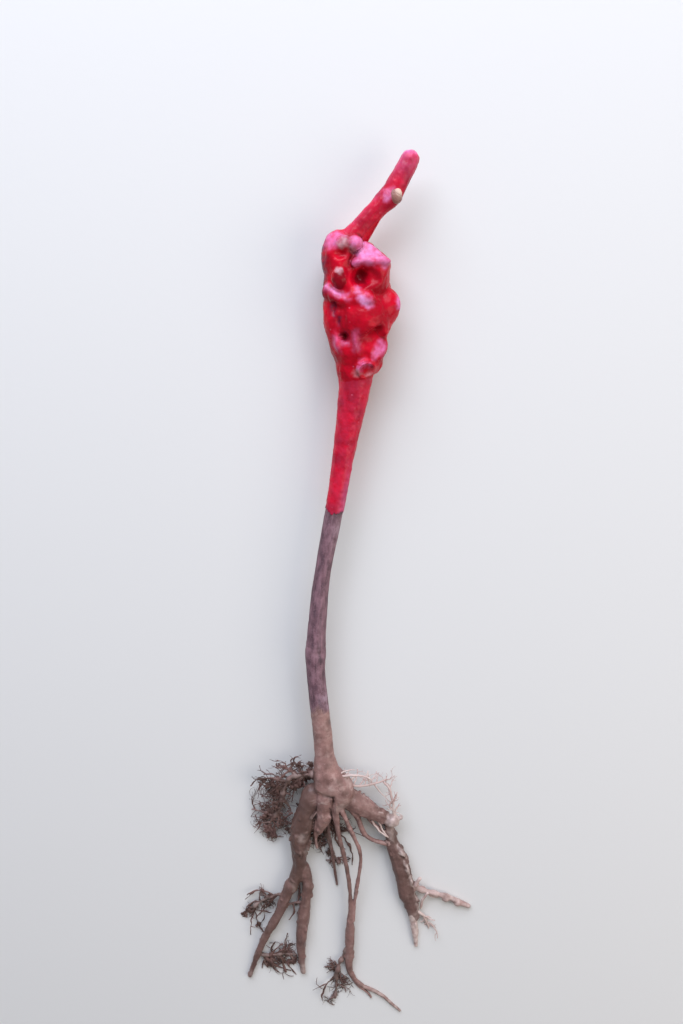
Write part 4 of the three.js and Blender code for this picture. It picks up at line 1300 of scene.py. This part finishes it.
def flake_lumps(name):
    """Thin lumps set on a root's edge towards +X at even shares of its length, each with a seeded
    length, stand-off, height and turn."""
    seed, count, start, end, scale = FLAKES[name]
    random = seeded(seed)
    line = route(ROOTS[name])
    length = measured(line)[-1]
    flakes = []
    for i in range(count):
        jitter, size, out, rise, turn = (next(random) for _ in range(5))
        share = between(start, end, (i + jitter * 0.8) / count)
        foot, ahead = at_places(line, [share * length, share * length + 1])
        x, y, _ = ahead - foot
        side = np.array([-y, x, 0]) * along(ROOTS[name].radii, share)
        at = foot - CROWN + side * (0.7 + 0.4 * out) + [0, 0, (rise - 0.35) * 2.4]
        half = np.array([1.4 + 3.4 * size**2, 0.6 + 0.8 * out * turn, 0.9 + 0.7 * size]) * scale
        flakes.append(Lump(at, half, math.degrees(math.atan2(y, x)) + (turn - 0.5) * 64, 1.3))
    return flakes


def clay_skin(sizes):
    """Everything under the clay: the crown, the cane above it and every root."""
    skin = Skin()
    widest = sizes.clay_fillet / MM
    low, high = CROWN_BOX
    skin.add("crown", crown_gap, CROWN + low, CROWN + high, widest)
    top = BARE_LENGTH + CANE_LAP
    radii = along(BARE_RADII, np.clip(np.linspace(CANE_FOOT, top, 40) / BARE_LENGTH, 0, 1))
    skin.add_tube("cane", cane_stretch(CANE_FOOT, top), radii, widest, stretches=40)
    for name, limb in ROOTS.items():
        fillet = min(limb.fillet or widest, 1.1 * float(np.median(limb.radii)))
        skin.add_tube(name, route(limb), limb.radii, fillet, limb.lift)
    flakes = [lump for name in FLAKES for lump in flake_lumps(name)]
    for i, lump in enumerate([*flakes, *CLAY_RIDGES]):
        skin.add_lump(f"ridge_{i}", lump, RIDGE_SOFT, own_surface=False)
    skin.cuts = CLAY_GROOVES
    return skin


def clay_relief(points, depth):
    """The height of the clay film: soft folds some millimetres long, and finer crumbs on them."""
    return depth * (rough(points, 4.2, 41, 2) + 0.35 * rough(points, 1.1, 47, 2))


def make_crown(sizes, colours):
    """The crown: rays from a short line in its middle out to the clay's skin."""
    skin = clay_skin(sizes)
    middle = longer(np.array(CROWN_MIDDLE) + CROWN, CROWN_REACH, CROWN_REACH)
    grid = limb_grid(middle, [CROWN_REACH, CROWN_REACH], CELLS["crown"], sides=CROWN_SIDES)
    points = wrap(grid, skin, "crown", extra=0)
    mesh = mesh_of("crown_clay", points, *grid.faces)
    hollow = hollowness(mesh, skin, "crown", LIFTED["crown"])
    raise_points(mesh, clay_relief(points, sizes.clay_relief / MM * RELIEF["crown"]))
    # the left side is darker: wet clay, and painted shade on the side away from the lights
    damp = 0.9 * ease(CROWN[0] - points[:, 0], 3.2, 6.4)
    paint(mesh, hollow=hollow, pale=spotted(points, PALE_SPOTS), damp=damp)
    dress(mesh, clay_coated_root, colours, "rootstock_cane")


def make_cane(sizes, colours):
    """The bare cane: a tube with the bark's strips as ribs and furrows, a swollen joint with the
    scar of its bud, and clay that fills the furrows near the crown."""
    skin = clay_skin(sizes)
    line = cane_stretch(CANE_FOOT, BARE_LENGTH + BARK_LAP)
    radii = along(BARE_RADII, np.linspace(CANE_FOOT / BARE_LENGTH, 1, 24)) - BARK_UNDER
    grid = limb_grid(line, radii, CELLS["cane"], ends=("round", "flat"), sides=CANE_SIDES)
    points = wrap(grid, skin, "cane")
    mesh = mesh_of("rootstock_bark", points, *grid.faces)
    run = straightened(grid)
    above = grid.place + CANE_FOOT
    clay = 1 - ease(above + 3 * noise(run, 4.0, 8), *CLAY_TOP)
    strips = noise(run, np.array([1.1, 1.1, 18]), 51) + 0.6 * noise(run, np.array([0.55, 0.55, 6]), 52)
    mottle = rough(run, np.array([2.6, 2.6, 6.0]), 53, 2)
    furrows = -np.clip(0.25 - np.abs(strips), 0, 1) * 1.6
    scar_side = np.clip(np.cos(grid.angle - 1.1), 0, 1) ** 6
    scar = bump(above, CANE_NODE + 0.5, 1.9) * scar_side
    joint = JOINT_SWELL * bump(above, CANE_NODE, 5.5) - JOINT_GROOVE * bump(above, CANE_NODE + 3, 0.7)
    joint -= SCAR_DEPTH * scar
    relief = sizes.bark_relief / MM * (0.4 * strips + furrows + 0.5 * mottle) * (1 - 0.8 * clay)
    relief += joint + clay_relief(points, sizes.clay_relief / MM * RELIEF["cane"]) * clay
    raise_points(mesh, relief * grid.close)
    # the grey bloom is strongest just above the clay and below the wax, and on the side towards +X, where
    # it is painted light
    outer = ease(points[:, 0] - grid.origin[:, 0], -1.5, 3)
    bloom = bump(above, *BLOOM_OVER_CLAY) + 0.6 * ease(above, *BLOOM_UNDER_WAX)
    bloom = 0.16 + 0.7 * outer * bloom
    # painted shade in the bark's furrows
    hollow = np.clip(-furrows * 0.3 * (1 - clay), 0, 1)
    paint(mesh, straight=run * MM, clay=clay, bloom=bloom, hollow=hollow, pale=0 * clay)
    dress(mesh, one_year_cane_bark, colours, "rootstock_cane")


# How much of each root's clay is scraped off towards its tip: where that starts, as a share of its
# length, and how bare it gets
LITTLE_SCRAPED = (0.9, 0.25)  # a root with no row below
SCRAPED = {
    "root_right_branch": (0.02, 0.55), "root_right_tip": (0.0, 1.0), "root_right_main": (0.86, 0.75),
    "root_right_lower": (0.9, 0.3), "root_left_inner": (0.86, 0.5), "root_middle_long": (0.8, 0.4),
}
# How pale a flake is, and over how many millimetres round it that fades
FLAKE_SKIN = {"much": 0.6, "soft": 0.8}
# The heights of a root's ridges, swellings and knots, as shares of its radius. A radius past
# MOST_RADIUS counts as that
RIDGES = 0.12
SWELLINGS = 0.13
KNOTS = 0.9
MOST_RADIUS = 2.6
FILM_RADIUS = 1.6  # the radius from which the film of clay has all of its relief
# How wet each root is, with painted shade in it, where it isn't as dry as the crown
DAMP = {
    "root_left_main": 1.0, "root_left_outer": 0.75, "root_left_inner": 0.6, "root_middle_long": 0.4,
    "root_middle_left": 0.5, "root_right_main": 0.35, "root_right_lower": 0.85, "root_back": 0.9,
}


def make_root(sizes, colours, name):
    """One root: a tube fused to its neighbours, with ridges along it that fade out where another
    root is the nearer one, and knots where rootlets have broken off."""
    skin = clay_skin(sizes)
    limb = ROOTS[name]
    widest = max(limb.radii)
    cell = CELLS["thick" if widest > 1.9 else "thin"]
    sides = max(16, round(2 * math.pi * widest / cell))
    grid = limb_grid(route(limb), limb.radii, cell, limb.lift, sides=sides)
    points = wrap(grid, skin, name)
    mesh = mesh_of(name + "_clay", points, *grid.faces)
    mine, nearest, _ = skin.gaps(points, name)
    alone = ease(nearest - mine, 0.2, 2.2)
    run = straightened(grid)
    seed = sum(map(ord, name)) % 97
    size = np.minimum(grid.radius, MOST_RADIUS)
    # strips of root bark under the clay, and the swellings between them
    ridges = noise(run, np.array([1.5, 1.5, 13]), seed) * RIDGES
    swell = noise(run, np.array([6, 6, 5.5]), seed + 1) + 0.7 * noise(run, np.array([3, 3, 7]), seed + 2)
    knots = np.clip(noise(run, np.array([2.2, 2.2, 3.2]), seed + 3) - 0.5, 0, 1) * KNOTS
    film = clay_relief(points, sizes.clay_relief / MM * np.minimum(size / FILM_RADIUS, 1))
    hollow = hollowness(mesh, skin, name, LIFTED["root"])
    raise_points(mesh, (ridges + SWELLINGS * swell + knots) * size * alone + film)
    start, most = SCRAPED.get(name, LITTLE_SCRAPED)
    share = grid.place / grid.place.max() + 0.06 * noise(run, 3.0, seed + 9)
    spots = [*PALE_SPOTS]
    if name in FLAKES:
        spots += [replace(flake, **FLAKE_SKIN) for flake in flake_lumps(name)]
    pale = np.maximum(most * ease(share, start, start + 0.12), spotted(points, spots))
    paint(mesh, hollow=hollow, pale=pale, damp=np.full(len(points), DAMP.get(name, 0.0)))
    dress(mesh, clay_coated_root, colours, name)


# Fine roots

# The two finer orders of rootlets: how many each parent bears, how long they are as a share of it,
# the angle at which they leave it, how thick they are as a share of it, and their sides
MUDDY = [((6, 10), (0.40, 0.95), (24, 80), 0.68, 5), ((2, 4), (0.35, 0.75), (30, 90), 0.66, 4)]
CLEAN = [((1, 3), (0.35, 0.75), (24, 70), 0.72, 5), ((0, 2), (0.30, 0.60), (30, 80), 0.66, 4)]
FINE_STEP = 0.6  # between the rings of a rootlet
WIGGLE = 0.5  # how far a rootlet strays from its even line
CLEANER = 0.28  # how much skin shows on the stems of a mass
# How much clay thickens a muddy rootlet and a clean one, as a share of its radius
CLAY_COAT = 2.0
THIN_COAT = 0.2
BALL_STEP = 1.5  # between the balls that stand for a limb
# The masses that are washed nearly clean, and how many crumbs of clay cling to some of the others
PALE_MASSES = ["fine_roots_right_upper", "fine_roots_right", "fine_roots_right_nub", "fine_roots_right_low"]
CLOTS = {"fine_roots_left": 90, "fine_roots_left_outer": 9, "fine_roots_back": 12, "fine_roots_left_low": 6}
CLOT_PARTS = 4  # how many small lumps make up one crumb
CLOT_SHAPE = [1.0, 0.75, 0.5]  # the half sizes of a lump, as shares of its length
# Rootlets in places of their own: strands beside the nub, and a stub and two strands on the branch
PLACED = {
    "fine_roots_right_nub": [
        Limb([22.4, -18.8], 11.6, [296, 308, 320], [8.4, 7.4], [0.6, 0.4]),
        Limb([24.4, -17.4], 13, [304, 292, 308], [8, 7], [0.6, 0.4]),
    ],
    "fine_roots_right_low": [
        Limb([44.8, -58.2], 5.6, [70, 58], [5, 6], [1.0, 0.8]),
        Limb([51.2, -62.6], 11.4, [232, 256, 264], [4.6, 2], [0.8, 0.5]),
        Limb([51.0, -62.8], 10.6, [290, 340, 380], [3.4, 1], [0.5, 0.35]),
    ],
}


def inside(points, mass):
    """Whether every point keeps to the mass's own space, and to the box round all the solids."""
    low, high = np.array(SOLID_BOX) / MM - CROWN
    points = points - CROWN
    above, below = points >= np.maximum(low, mass.low), points <= np.minimum(high, mass.high)
    return bool(np.all(above & below))


def limb_balls():
    """The spur, the stub and every root as rows of balls, which rootlets keep clear of."""
    rows = []
    for limb in [STUB, SPUR, *ROOTS.values()]:
        line = route(limb)
        length = measured(line)[-1]
        share = np.linspace(0, 1, math.ceil(length / BALL_STEP) + 1)
        rows.append(np.column_stack([at_places(line, share * length), along(limb.radii, share)]))
    return np.vstack(rows)


def fits(rootlet, mass, balls):
    """Whether a rootlet keeps to its mass's space, and further from each ball than both radii and
    the clearance."""
    points = route(rootlet)
    gap = np.linalg.norm(points[:, None] - balls[None, :, :3], axis=2) - balls[None, :, 3]
    return inside(points, mass) and bool(gap.min() > rootlet.radii[0] + CLEAR)


def side_rootlets(mass, balls):
    """The source's rule: each side rootlet leaves its stem at an even share of its length, to a
    seeded side, and sinks towards the ground. One that doesn't fit is skipped."""
    random = seeded(mass.seed)
    stem = route(mass)
    length = measured(stem)[-1]
    rootlets = []
    for i in range(mass.count):
        share = (i + 0.8) / (mass.count + 0.3)
        foot = at_places(stem, [share * length])[0]
        side = -1 if next(random) < 0.5 else 1
        angle, curl, size, fall = (next(random) for _ in range(4))
        heading = along(mass.headings, share) + side * between(*SIDE_ANGLE, angle)
        radius = along(mass.radii, share) * SIDE_THICKNESS
        rootlets.append(Limb(
            (foot - CROWN)[:2], mass.reach * (0.35 + 0.65 * size) * (1 - 0.35 * share),
            [heading, heading, heading + (curl - 0.5) * SIDE_CURL],
            [foot[2], foot[2] * (0.25 + 0.75 * fall)], [radius, radius * 0.6],
        ))
    return [rootlet for rootlet in rootlets if fits(rootlet, mass, balls)]


def finer_rootlets(parents, mass, rule, balls, random):
    """Rootlets of the next order: each parent bears a few, by the same rule with its own numbers."""
    (fewest, most), lengths, angles, thick, sides = rule
    made = []
    for parent in parents:
        line = route(parent)
        length = measured(line)[-1]
        for _ in range(fewest + int(next(random) * (most - fewest + 1))):
            share, size, angle, curl, fall, side = (next(random) for _ in range(6))
            share = 0.12 + 0.8 * share
            foot = at_places(line, [share * length])[0]
            heading = along(parent.headings, share) + between(*angles, angle) * (1 if side < 0.5 else -1)
            radius = along(parent.radii, share) * thick
            made.append(Limb(
                (foot - CROWN)[:2], length * between(*lengths, size),
                [heading, heading + (curl - 0.5) * 130, heading + (curl - 0.5) * 240],
                [foot[2], max(foot[2] + (fall - 0.6) * 4, 0.2)], [radius, radius * 0.55], sides=sides,
            ))
    return [rootlet for rootlet in made if fits(rootlet, mass, balls)]


def tube(limb, seed, coat):
    """Points and faces of one rootlet: rings round its middle line, which strays from its even
    route by smooth noise that is nothing at the foot. Clay lies on it in lengths of 2 or 3 mm."""
    line = route(limb)
    length = measured(line)[-1]
    rings = max(4, math.ceil(length / FINE_STEP))
    places = np.linspace(0, length, rings)
    line = at_places(line, places)
    stray = np.stack([noise(line, 2.4, seed + k) for k in range(3)], 1) * WIGGLE
    stray[:, 2] = np.abs(stray[:, 2]) * 0.6
    line = line + stray * ease(places, 0, 4)[:, None]
    clay = coat * np.clip(noise(line, 2.8, seed + 7) + 0.15, 0, 1)
    radius = along(limb.radii, places / length) * (1 + 0.16 * noise(line, 1.3, seed + 5) + clay)
    line[:, 2] = np.maximum(line[:, 2], radius + FLOOR_GAP)
    tangent = unit(np.gradient(line, axis=0))
    points = line[:, None] + spokes(*across(tangent), turns(limb.sides)) * radius[:, None, None]
    poles = [line[0] - tangent[0] * radius[0] * 0.5, line[-1] + tangent[-1] * radius[-1]]
    return (np.vstack([points.reshape(-1, 3), poles]), *ring_faces(rings, limb.sides))


def clot(centre, size, seed):
    """A crumb of clay that clings to a rootlet: a long ball whose radius goes by noise of its
    direction."""
    grid = ball_grid(centre - CROWN, np.array(CLOT_SHAPE) * size, size * 0.42, seed * 67 % 180)
    bumps = 1 + 0.5 * noise(grid.direction, 0.9, seed) + 0.3 * noise(grid.direction, 0.45, seed + 1)
    points = grid.origin + grid.direction * (grid.radius * bumps)[:, None]
    points[:, 2] = np.maximum(points[:, 2], FLOOR_GAP)
    return points, *grid.faces


def joined(parts):
    """Several closed shapes in one: their points in a row, their faces counted on."""
    points, quads, triangles = zip(*parts)
    offsets = np.cumsum([0] + [len(one) for one in points[:-1]])
    counted = [[faces + offset for faces, offset in zip(kind, offsets)] for kind in (quads, triangles)]
    return np.vstack(points), np.vstack(counted[0]), np.vstack(counted[1])


def crumbs_on(bearers, count, random):
    """Crumbs of clay on rootlets, each a few lumps close together."""
    crumbs = []
    for i in range(count):
        bearer = bearers[int(next(random) * len(bearers))]
        place = at_places(route(bearer), [next(random) * bearer.length])[0]
        size = 0.5 + 0.9 * next(random) ** 2
        for k in range(CLOT_PARTS):
            shift = np.array([next(random), next(random), 0.5 * next(random)]) - [0.5, 0.5, 0.25]
            part = size * (0.6 + 0.5 * next(random))
            crumbs.append(clot(place + shift * size * 2.2, part, CLOT_PARTS * i + k))
    return joined(crumbs)


def make_fine_roots(colours, name, balls):
    """One mass of fine roots: stem, side rootlets and two finer orders, joined, with the crumbs of
    clay as a piece of their own."""
    mass = FINE_ROOTS[name]
    clean = name in PALE_MASSES
    random = seeded(mass.seed + 1000)
    first, second = CLEAN if clean else MUDDY
    side = side_rootlets(mass, balls)
    finer = finer_rootlets([mass, *side], mass, first, balls, random)
    finest = finer_rootlets(finer, mass, second, balls, random)
    side += PLACED.get(name, [])
    coat = THIN_COAT if clean else CLAY_COAT
    tubes = [tube(one, mass.seed + i, coat) for i, one in enumerate([mass, *side, *finer, *finest])]
    mesh = mesh_of(name + "_rootlets", *joined(tubes))
    # the stem and the side rootlets have less clay on them
    cleaner = sum(len(points) for points, _, _ in tubes[: 1 + len(side)])
    pale = np.where(np.arange(len(mesh.vertices)) < cleaner, CLEANER, 0.0)
    paint(mesh, pale=pale * (0.5 + 0.5 * noise(points_of(mesh)[0], 5.0, mass.seed)))
    dress(mesh, pale_rootlet if clean else muddy_rootlet, colours, name)
    if name in CLOTS:
        # they cling to the stem and to rootlets of every order but the last
        mesh = mesh_of(name + "_crumbs", *crumbs_on([mass, *side, *finer], CLOTS[name], random))
        dress(mesh, muddy_rootlet, colours, name)


# Stage

EYE = (-9.5, 175.8, 441.0)  # where the photograph was taken from, over the lying vine
TILT_BACK = 15.0  # degrees from straight down
LENS = 35.0
SENSOR = 36.0
# The softboxes: where each hangs, what it is turned to, and its two sides
LIGHTS = {
    "sky_ahead": ((-0.15, 1.15, 0.75), (0, 0.05, 0), (1.5, 0.9)),
    "soft_right": ((0.95, -0.1, 0.8), (0, 0, 0), (0.9, 0.9)),
}


def aim(thing, target):
    """Turns a light or a camera so that it looks at a point."""
    look = Vector(target) - thing.location
    thing.rotation_euler = look.to_track_quat("-Z", "Y").to_euler()


def hang_light(name, power, colour):
    """A softbox in its place, turned to the vine."""
    place, target, size = LIGHTS[name]
    light = bpy.data.lights.new(name, "AREA")
    light.shape = "RECTANGLE"
    light.size, light.size_y = size
    light.energy = power
    light.color = colour[:3]
    thing = bpy.data.objects.new(name, light)
    thing.location = place
    aim(thing, target)
    bpy.context.scene.collection.objects.link(thing)


def make_stage(sizes, colours):
    """A pale floor, an even sky, two softboxes and the camera."""
    scene = bpy.context.scene
    scene.view_settings.view_transform = "Standard"
    half = sizes.floor / 2
    corners = np.array([[-half, -half, 0], [half, -half, 0], [half, half, 0], [-half, half, 0]])
    mesh = bpy.data.meshes.new("floor")
    mesh.from_pydata(corners.tolist(), [], [[0, 1, 2, 3]])
    mesh.materials.append(material(painted_board, colours))
    floor = bpy.data.objects.new("floor", mesh)
    scene.collection.objects.link(floor)
    world = bpy.data.worlds.new("overcast")
    world.use_nodes = True
    background = world.node_tree.nodes["Background"]
    background.inputs["Color"].default_value = colours.sky
    background.inputs["Strength"].default_value = sizes.sky_strength
    scene.world = world
    hang_light("sky_ahead", sizes.sky_power, colours.sky_light)
    hang_light("soft_right", sizes.fill_power, colours.fill_light)
    camera = bpy.data.cameras.new("camera")
    camera.lens = LENS
    camera.sensor_width = SENSOR
    camera.clip_start, camera.clip_end = 0.01, 50
    seer = bpy.data.objects.new("camera", camera)
    seer.location = [value * MM for value in EYE]
    seer.rotation_euler = (math.radians(-TILT_BACK), 0, 0)
    scene.collection.objects.link(seer)
    scene.camera = seer


# Settings, operators and panel

def length_setting(name, description, default):
    """A size in metres."""
    words = {"name": name, "description": description, "unit": "LENGTH"}
    return FloatProperty(default=default, min=0, precision=5, **words)


def power_setting(name, description, default):
    """A light's power in watts."""
    return FloatProperty(name=name, description=description, default=default, min=0, unit="POWER")


def colour_setting(name, description, code):
    """A colour, given as an sRGB hex code and kept linear."""
    return FloatVectorProperty(
        name=name, description=description, default=linear(code), size=4, subtype="COLOR", min=0, max=1
    )


class GrapevineSizes(bpy.types.PropertyGroup):
    """The sizes of the looks, and the strengths of the lights"""
    wax_fillet: length_setting("Wax fillet", "How far the wax rounds the joints between lumps", 0.0018)
    wax_relief: length_setting("Wax relief", "How uneven the set wax is", 0.00022)
    wax_cell: length_setting("Wax cell", "Distance between the rings of the union's surface", 0.00027)
    clay_fillet: length_setting("Clay fillet", "How far clay fills the forks between roots", 0.0026)
    clay_relief: length_setting("Clay relief", "How uneven the film of clay is", 0.00020)
    bark_relief: length_setting("Bark relief", "Depth of the furrows between strips of bark", 0.00016)
    floor: length_setting("Floor", "Side of the square floor", 8.0)
    sky_strength: FloatProperty(name="Sky", description="Strength of the even light", default=0.28, min=0)
    sky_power: power_setting("Softbox", "Power of the light ahead", 33.0)
    fill_power: power_setting("Fill", "Power of the light at the right", 7.0)


class GrapevineColours(bpy.types.PropertyGroup):
    """The colours of every material and light"""
    wax: colour_setting("Wax", "Sound wax", "#C60624")
    wax_deep: colour_setting("Thick wax", "Wax where it is thick", "#A0051C")
    # painted shade on the wax
    wax_hollow: colour_setting("Wax in hollows", "Wax deep in a hollow", "#5C0612")
    # rubbed wax, and painted pink sheen
    wax_bloom: colour_setting("Rubbed wax", "Wax clouded by rubbing", "#DF78AC")
    # painted lilac sheen
    wax_lilac: colour_setting("Chalky wax", "Wax rubbed until it is chalky", "#D795C4")
    # thin wax, and painted purple shade
    wax_thin: colour_setting("Thin wax", "Wood seen through thin wax", "#66203A")
    wax_speck: colour_setting("Wax speck", "Bubbles in the wax", "#E87C98")
    bark: colour_setting("Bark", "Strips of bark", "#7F565D")
    bark_dark: colour_setting("Dark bark", "Bark in its darker patches", "#5C4149")
    bark_furrow: colour_setting("Furrow", "Furrows between strips", "#3E2A30")
    bark_rib: colour_setting("Rib", "Worn ribs of the bark", "#95747B")
    # grey bloom, and painted light on the side towards +X
    bark_bloom: colour_setting("Bark bloom", "Grey bloom on bark", "#A58C97")
    clay: colour_setting("Clay", "Film of damp clay", "#967068")
    clay_wet: colour_setting("Wet clay", "Clay where it is wet", "#6E5049")
    # wet clay, and painted shade
    clay_damp: colour_setting("Soaked clay", "Clay on the roots that lie in the wet", "#4E3830")
    clay_dry: colour_setting("Dry clay", "Clay that has begun to dry", "#B4948B")
    clay_shade: colour_setting("Clay in folds", "Clay deep in a fold", "#3C2A25")
    root_skin: colour_setting("Root skin", "Scraped skin of a root", "#CBB6AC")
    bud: colour_setting("Bud", "Scales of the spur's bud", "#9A6A5E")
    bud_edge: colour_setting("Bud edge", "Edges of the scales", "#632A30")
    bud_felt: colour_setting("Bud felt", "Felt at a bud's tip", "#D0B09C")
    tissue: colour_setting("Callus", "Healed tissue that the wax has missed", "#D4A6AA")
    tissue_dark: colour_setting("Dark callus", "Its darker patches", "#9A6E76")
    floor: colour_setting("Floor", "Painted board", "#D8D5D0")
    sky: colour_setting("Sky", "Even light", "#EEF1F6")
    sky_light: colour_setting("Softbox", "Light ahead", "#E4ECFF")
    fill_light: colour_setting("Fill", "Light at the right", "#FFF8F0")


def settings(context):
    """The scene's sizes and colours, for an operator."""
    return context.scene.grapevine_sizes, context.scene.grapevine_colours


class GRAPEVINE_OT_stage(bpy.types.Operator):
    """Lay the floor, hang the soft lights and set the camera"""
    bl_idname = "grapevine.stage"
    bl_label = "Stage"

    def execute(self, context):
        make_stage(*settings(context))
        return {"FINISHED"}


class GRAPEVINE_OT_union(bpy.types.Operator):
    """Make the waxed graft union"""
    bl_idname = "grapevine.union"
    bl_label = "Graft union"

    def execute(self, context):
        make_union(*settings(context))
        return {"FINISHED"}


class GRAPEVINE_OT_neck(bpy.types.Operator):
    """Make the waxed neck below the union"""
    bl_idname = "grapevine.neck"
    bl_label = "Waxed neck"

    def execute(self, context):
        make_neck(*settings(context))
        return {"FINISHED"}


class GRAPEVINE_OT_spur(bpy.types.Operator):
    """Make the scion spur above the union"""
    bl_idname = "grapevine.spur"
    bl_label = "Scion spur"

    def execute(self, context):
        make_spur(*settings(context))
        return {"FINISHED"}


class GRAPEVINE_OT_union_details(bpy.types.Operator):
    """Make the knob, the stub and the cut face that stand out of the union"""
    bl_idname = "grapevine.union_details"
    bl_label = "Knob, stub and cuts"

    def execute(self, context):
        made = settings(context)
        make_stub(*made)
        make_lump(*made, "union_knob_wax", UNION_KNOB, "knob", "grafting_wax", "union_knob")
        make_lump(*made, "union_cut_scar", UNION_CUT, "cut", "cut_wood", "union_cut_face")
        return {"FINISHED"}


class GRAPEVINE_OT_buds(bpy.types.Operator):
    """Make the buds on the union and on the spur"""
    bl_idname = "grapevine.buds"
    bl_label = "Buds"

    def execute(self, context):
        sizes, colours = settings(context)
        make_lump(sizes, colours, "union_bud_waxed", UNION_BUD, "bud", "bud_scale", "union_bud")
        make_bud(colours)
        return {"FINISHED"}


class GRAPEVINE_OT_cane(bpy.types.Operator):
    """Make the rootstock cane with its bark, and the crown at its foot"""
    bl_idname = "grapevine.cane"
    bl_label = "Rootstock cane"

    def execute(self, context):
        make_cane(*settings(context))
        make_crown(*settings(context))
        return {"FINISHED"}


class GRAPEVINE_OT_roots(bpy.types.Operator):
    """Make the thick and thin roots under their film of clay"""
    bl_idname = "grapevine.roots"
    bl_label = "Roots"

    def execute(self, context):
        for name in ROOTS:
            make_root(*settings(context), name)
        return {"FINISHED"}


class GRAPEVINE_OT_fine_roots(bpy.types.Operator):
    """Grow the masses of fine roots"""
    bl_idname = "grapevine.fine_roots"
    bl_label = "Fine roots"

    def execute(self, context):
        _, colours = settings(context)
        balls = limb_balls()
        for name in FINE_ROOTS:
            make_fine_roots(colours, name, balls)
        return {"FINISHED"}


OPERATORS = [
    GRAPEVINE_OT_stage, GRAPEVINE_OT_union, GRAPEVINE_OT_neck, GRAPEVINE_OT_spur,
    GRAPEVINE_OT_union_details, GRAPEVINE_OT_buds, GRAPEVINE_OT_cane, GRAPEVINE_OT_roots,
    GRAPEVINE_OT_fine_roots,
]


class GRAPEVINE_PT_parts(bpy.types.Panel):
    """Lists the steps that build the vine"""
    bl_idname = "GRAPEVINE_PT_parts"
    bl_label = "Young grafted grapevine"
    bl_space_type = "VIEW_3D"
    bl_region_type = "UI"
    bl_category = "Grapevine"

    def draw(self, context):
        for operator in OPERATORS:
            self.layout.operator(operator.bl_idname)


CLASSES = [GrapevineSizes, GrapevineColours, *OPERATORS, GRAPEVINE_PT_parts]


def register():
    for one in CLASSES:
        bpy.utils.register_class(one)
    bpy.types.Scene.grapevine_sizes = PointerProperty(type=GrapevineSizes)
    bpy.types.Scene.grapevine_colours = PointerProperty(type=GrapevineColours)


def unregister():
    del bpy.types.Scene.grapevine_colours
    del bpy.types.Scene.grapevine_sizes
    for one in reversed(CLASSES):
        bpy.utils.unregister_class(one)


def main():
    register()
    for operator in OPERATORS:
        group, step = operator.bl_idname.split(".")
        getattr(getattr(bpy.ops, group), step)()


if __name__ == "__main__":
    main()
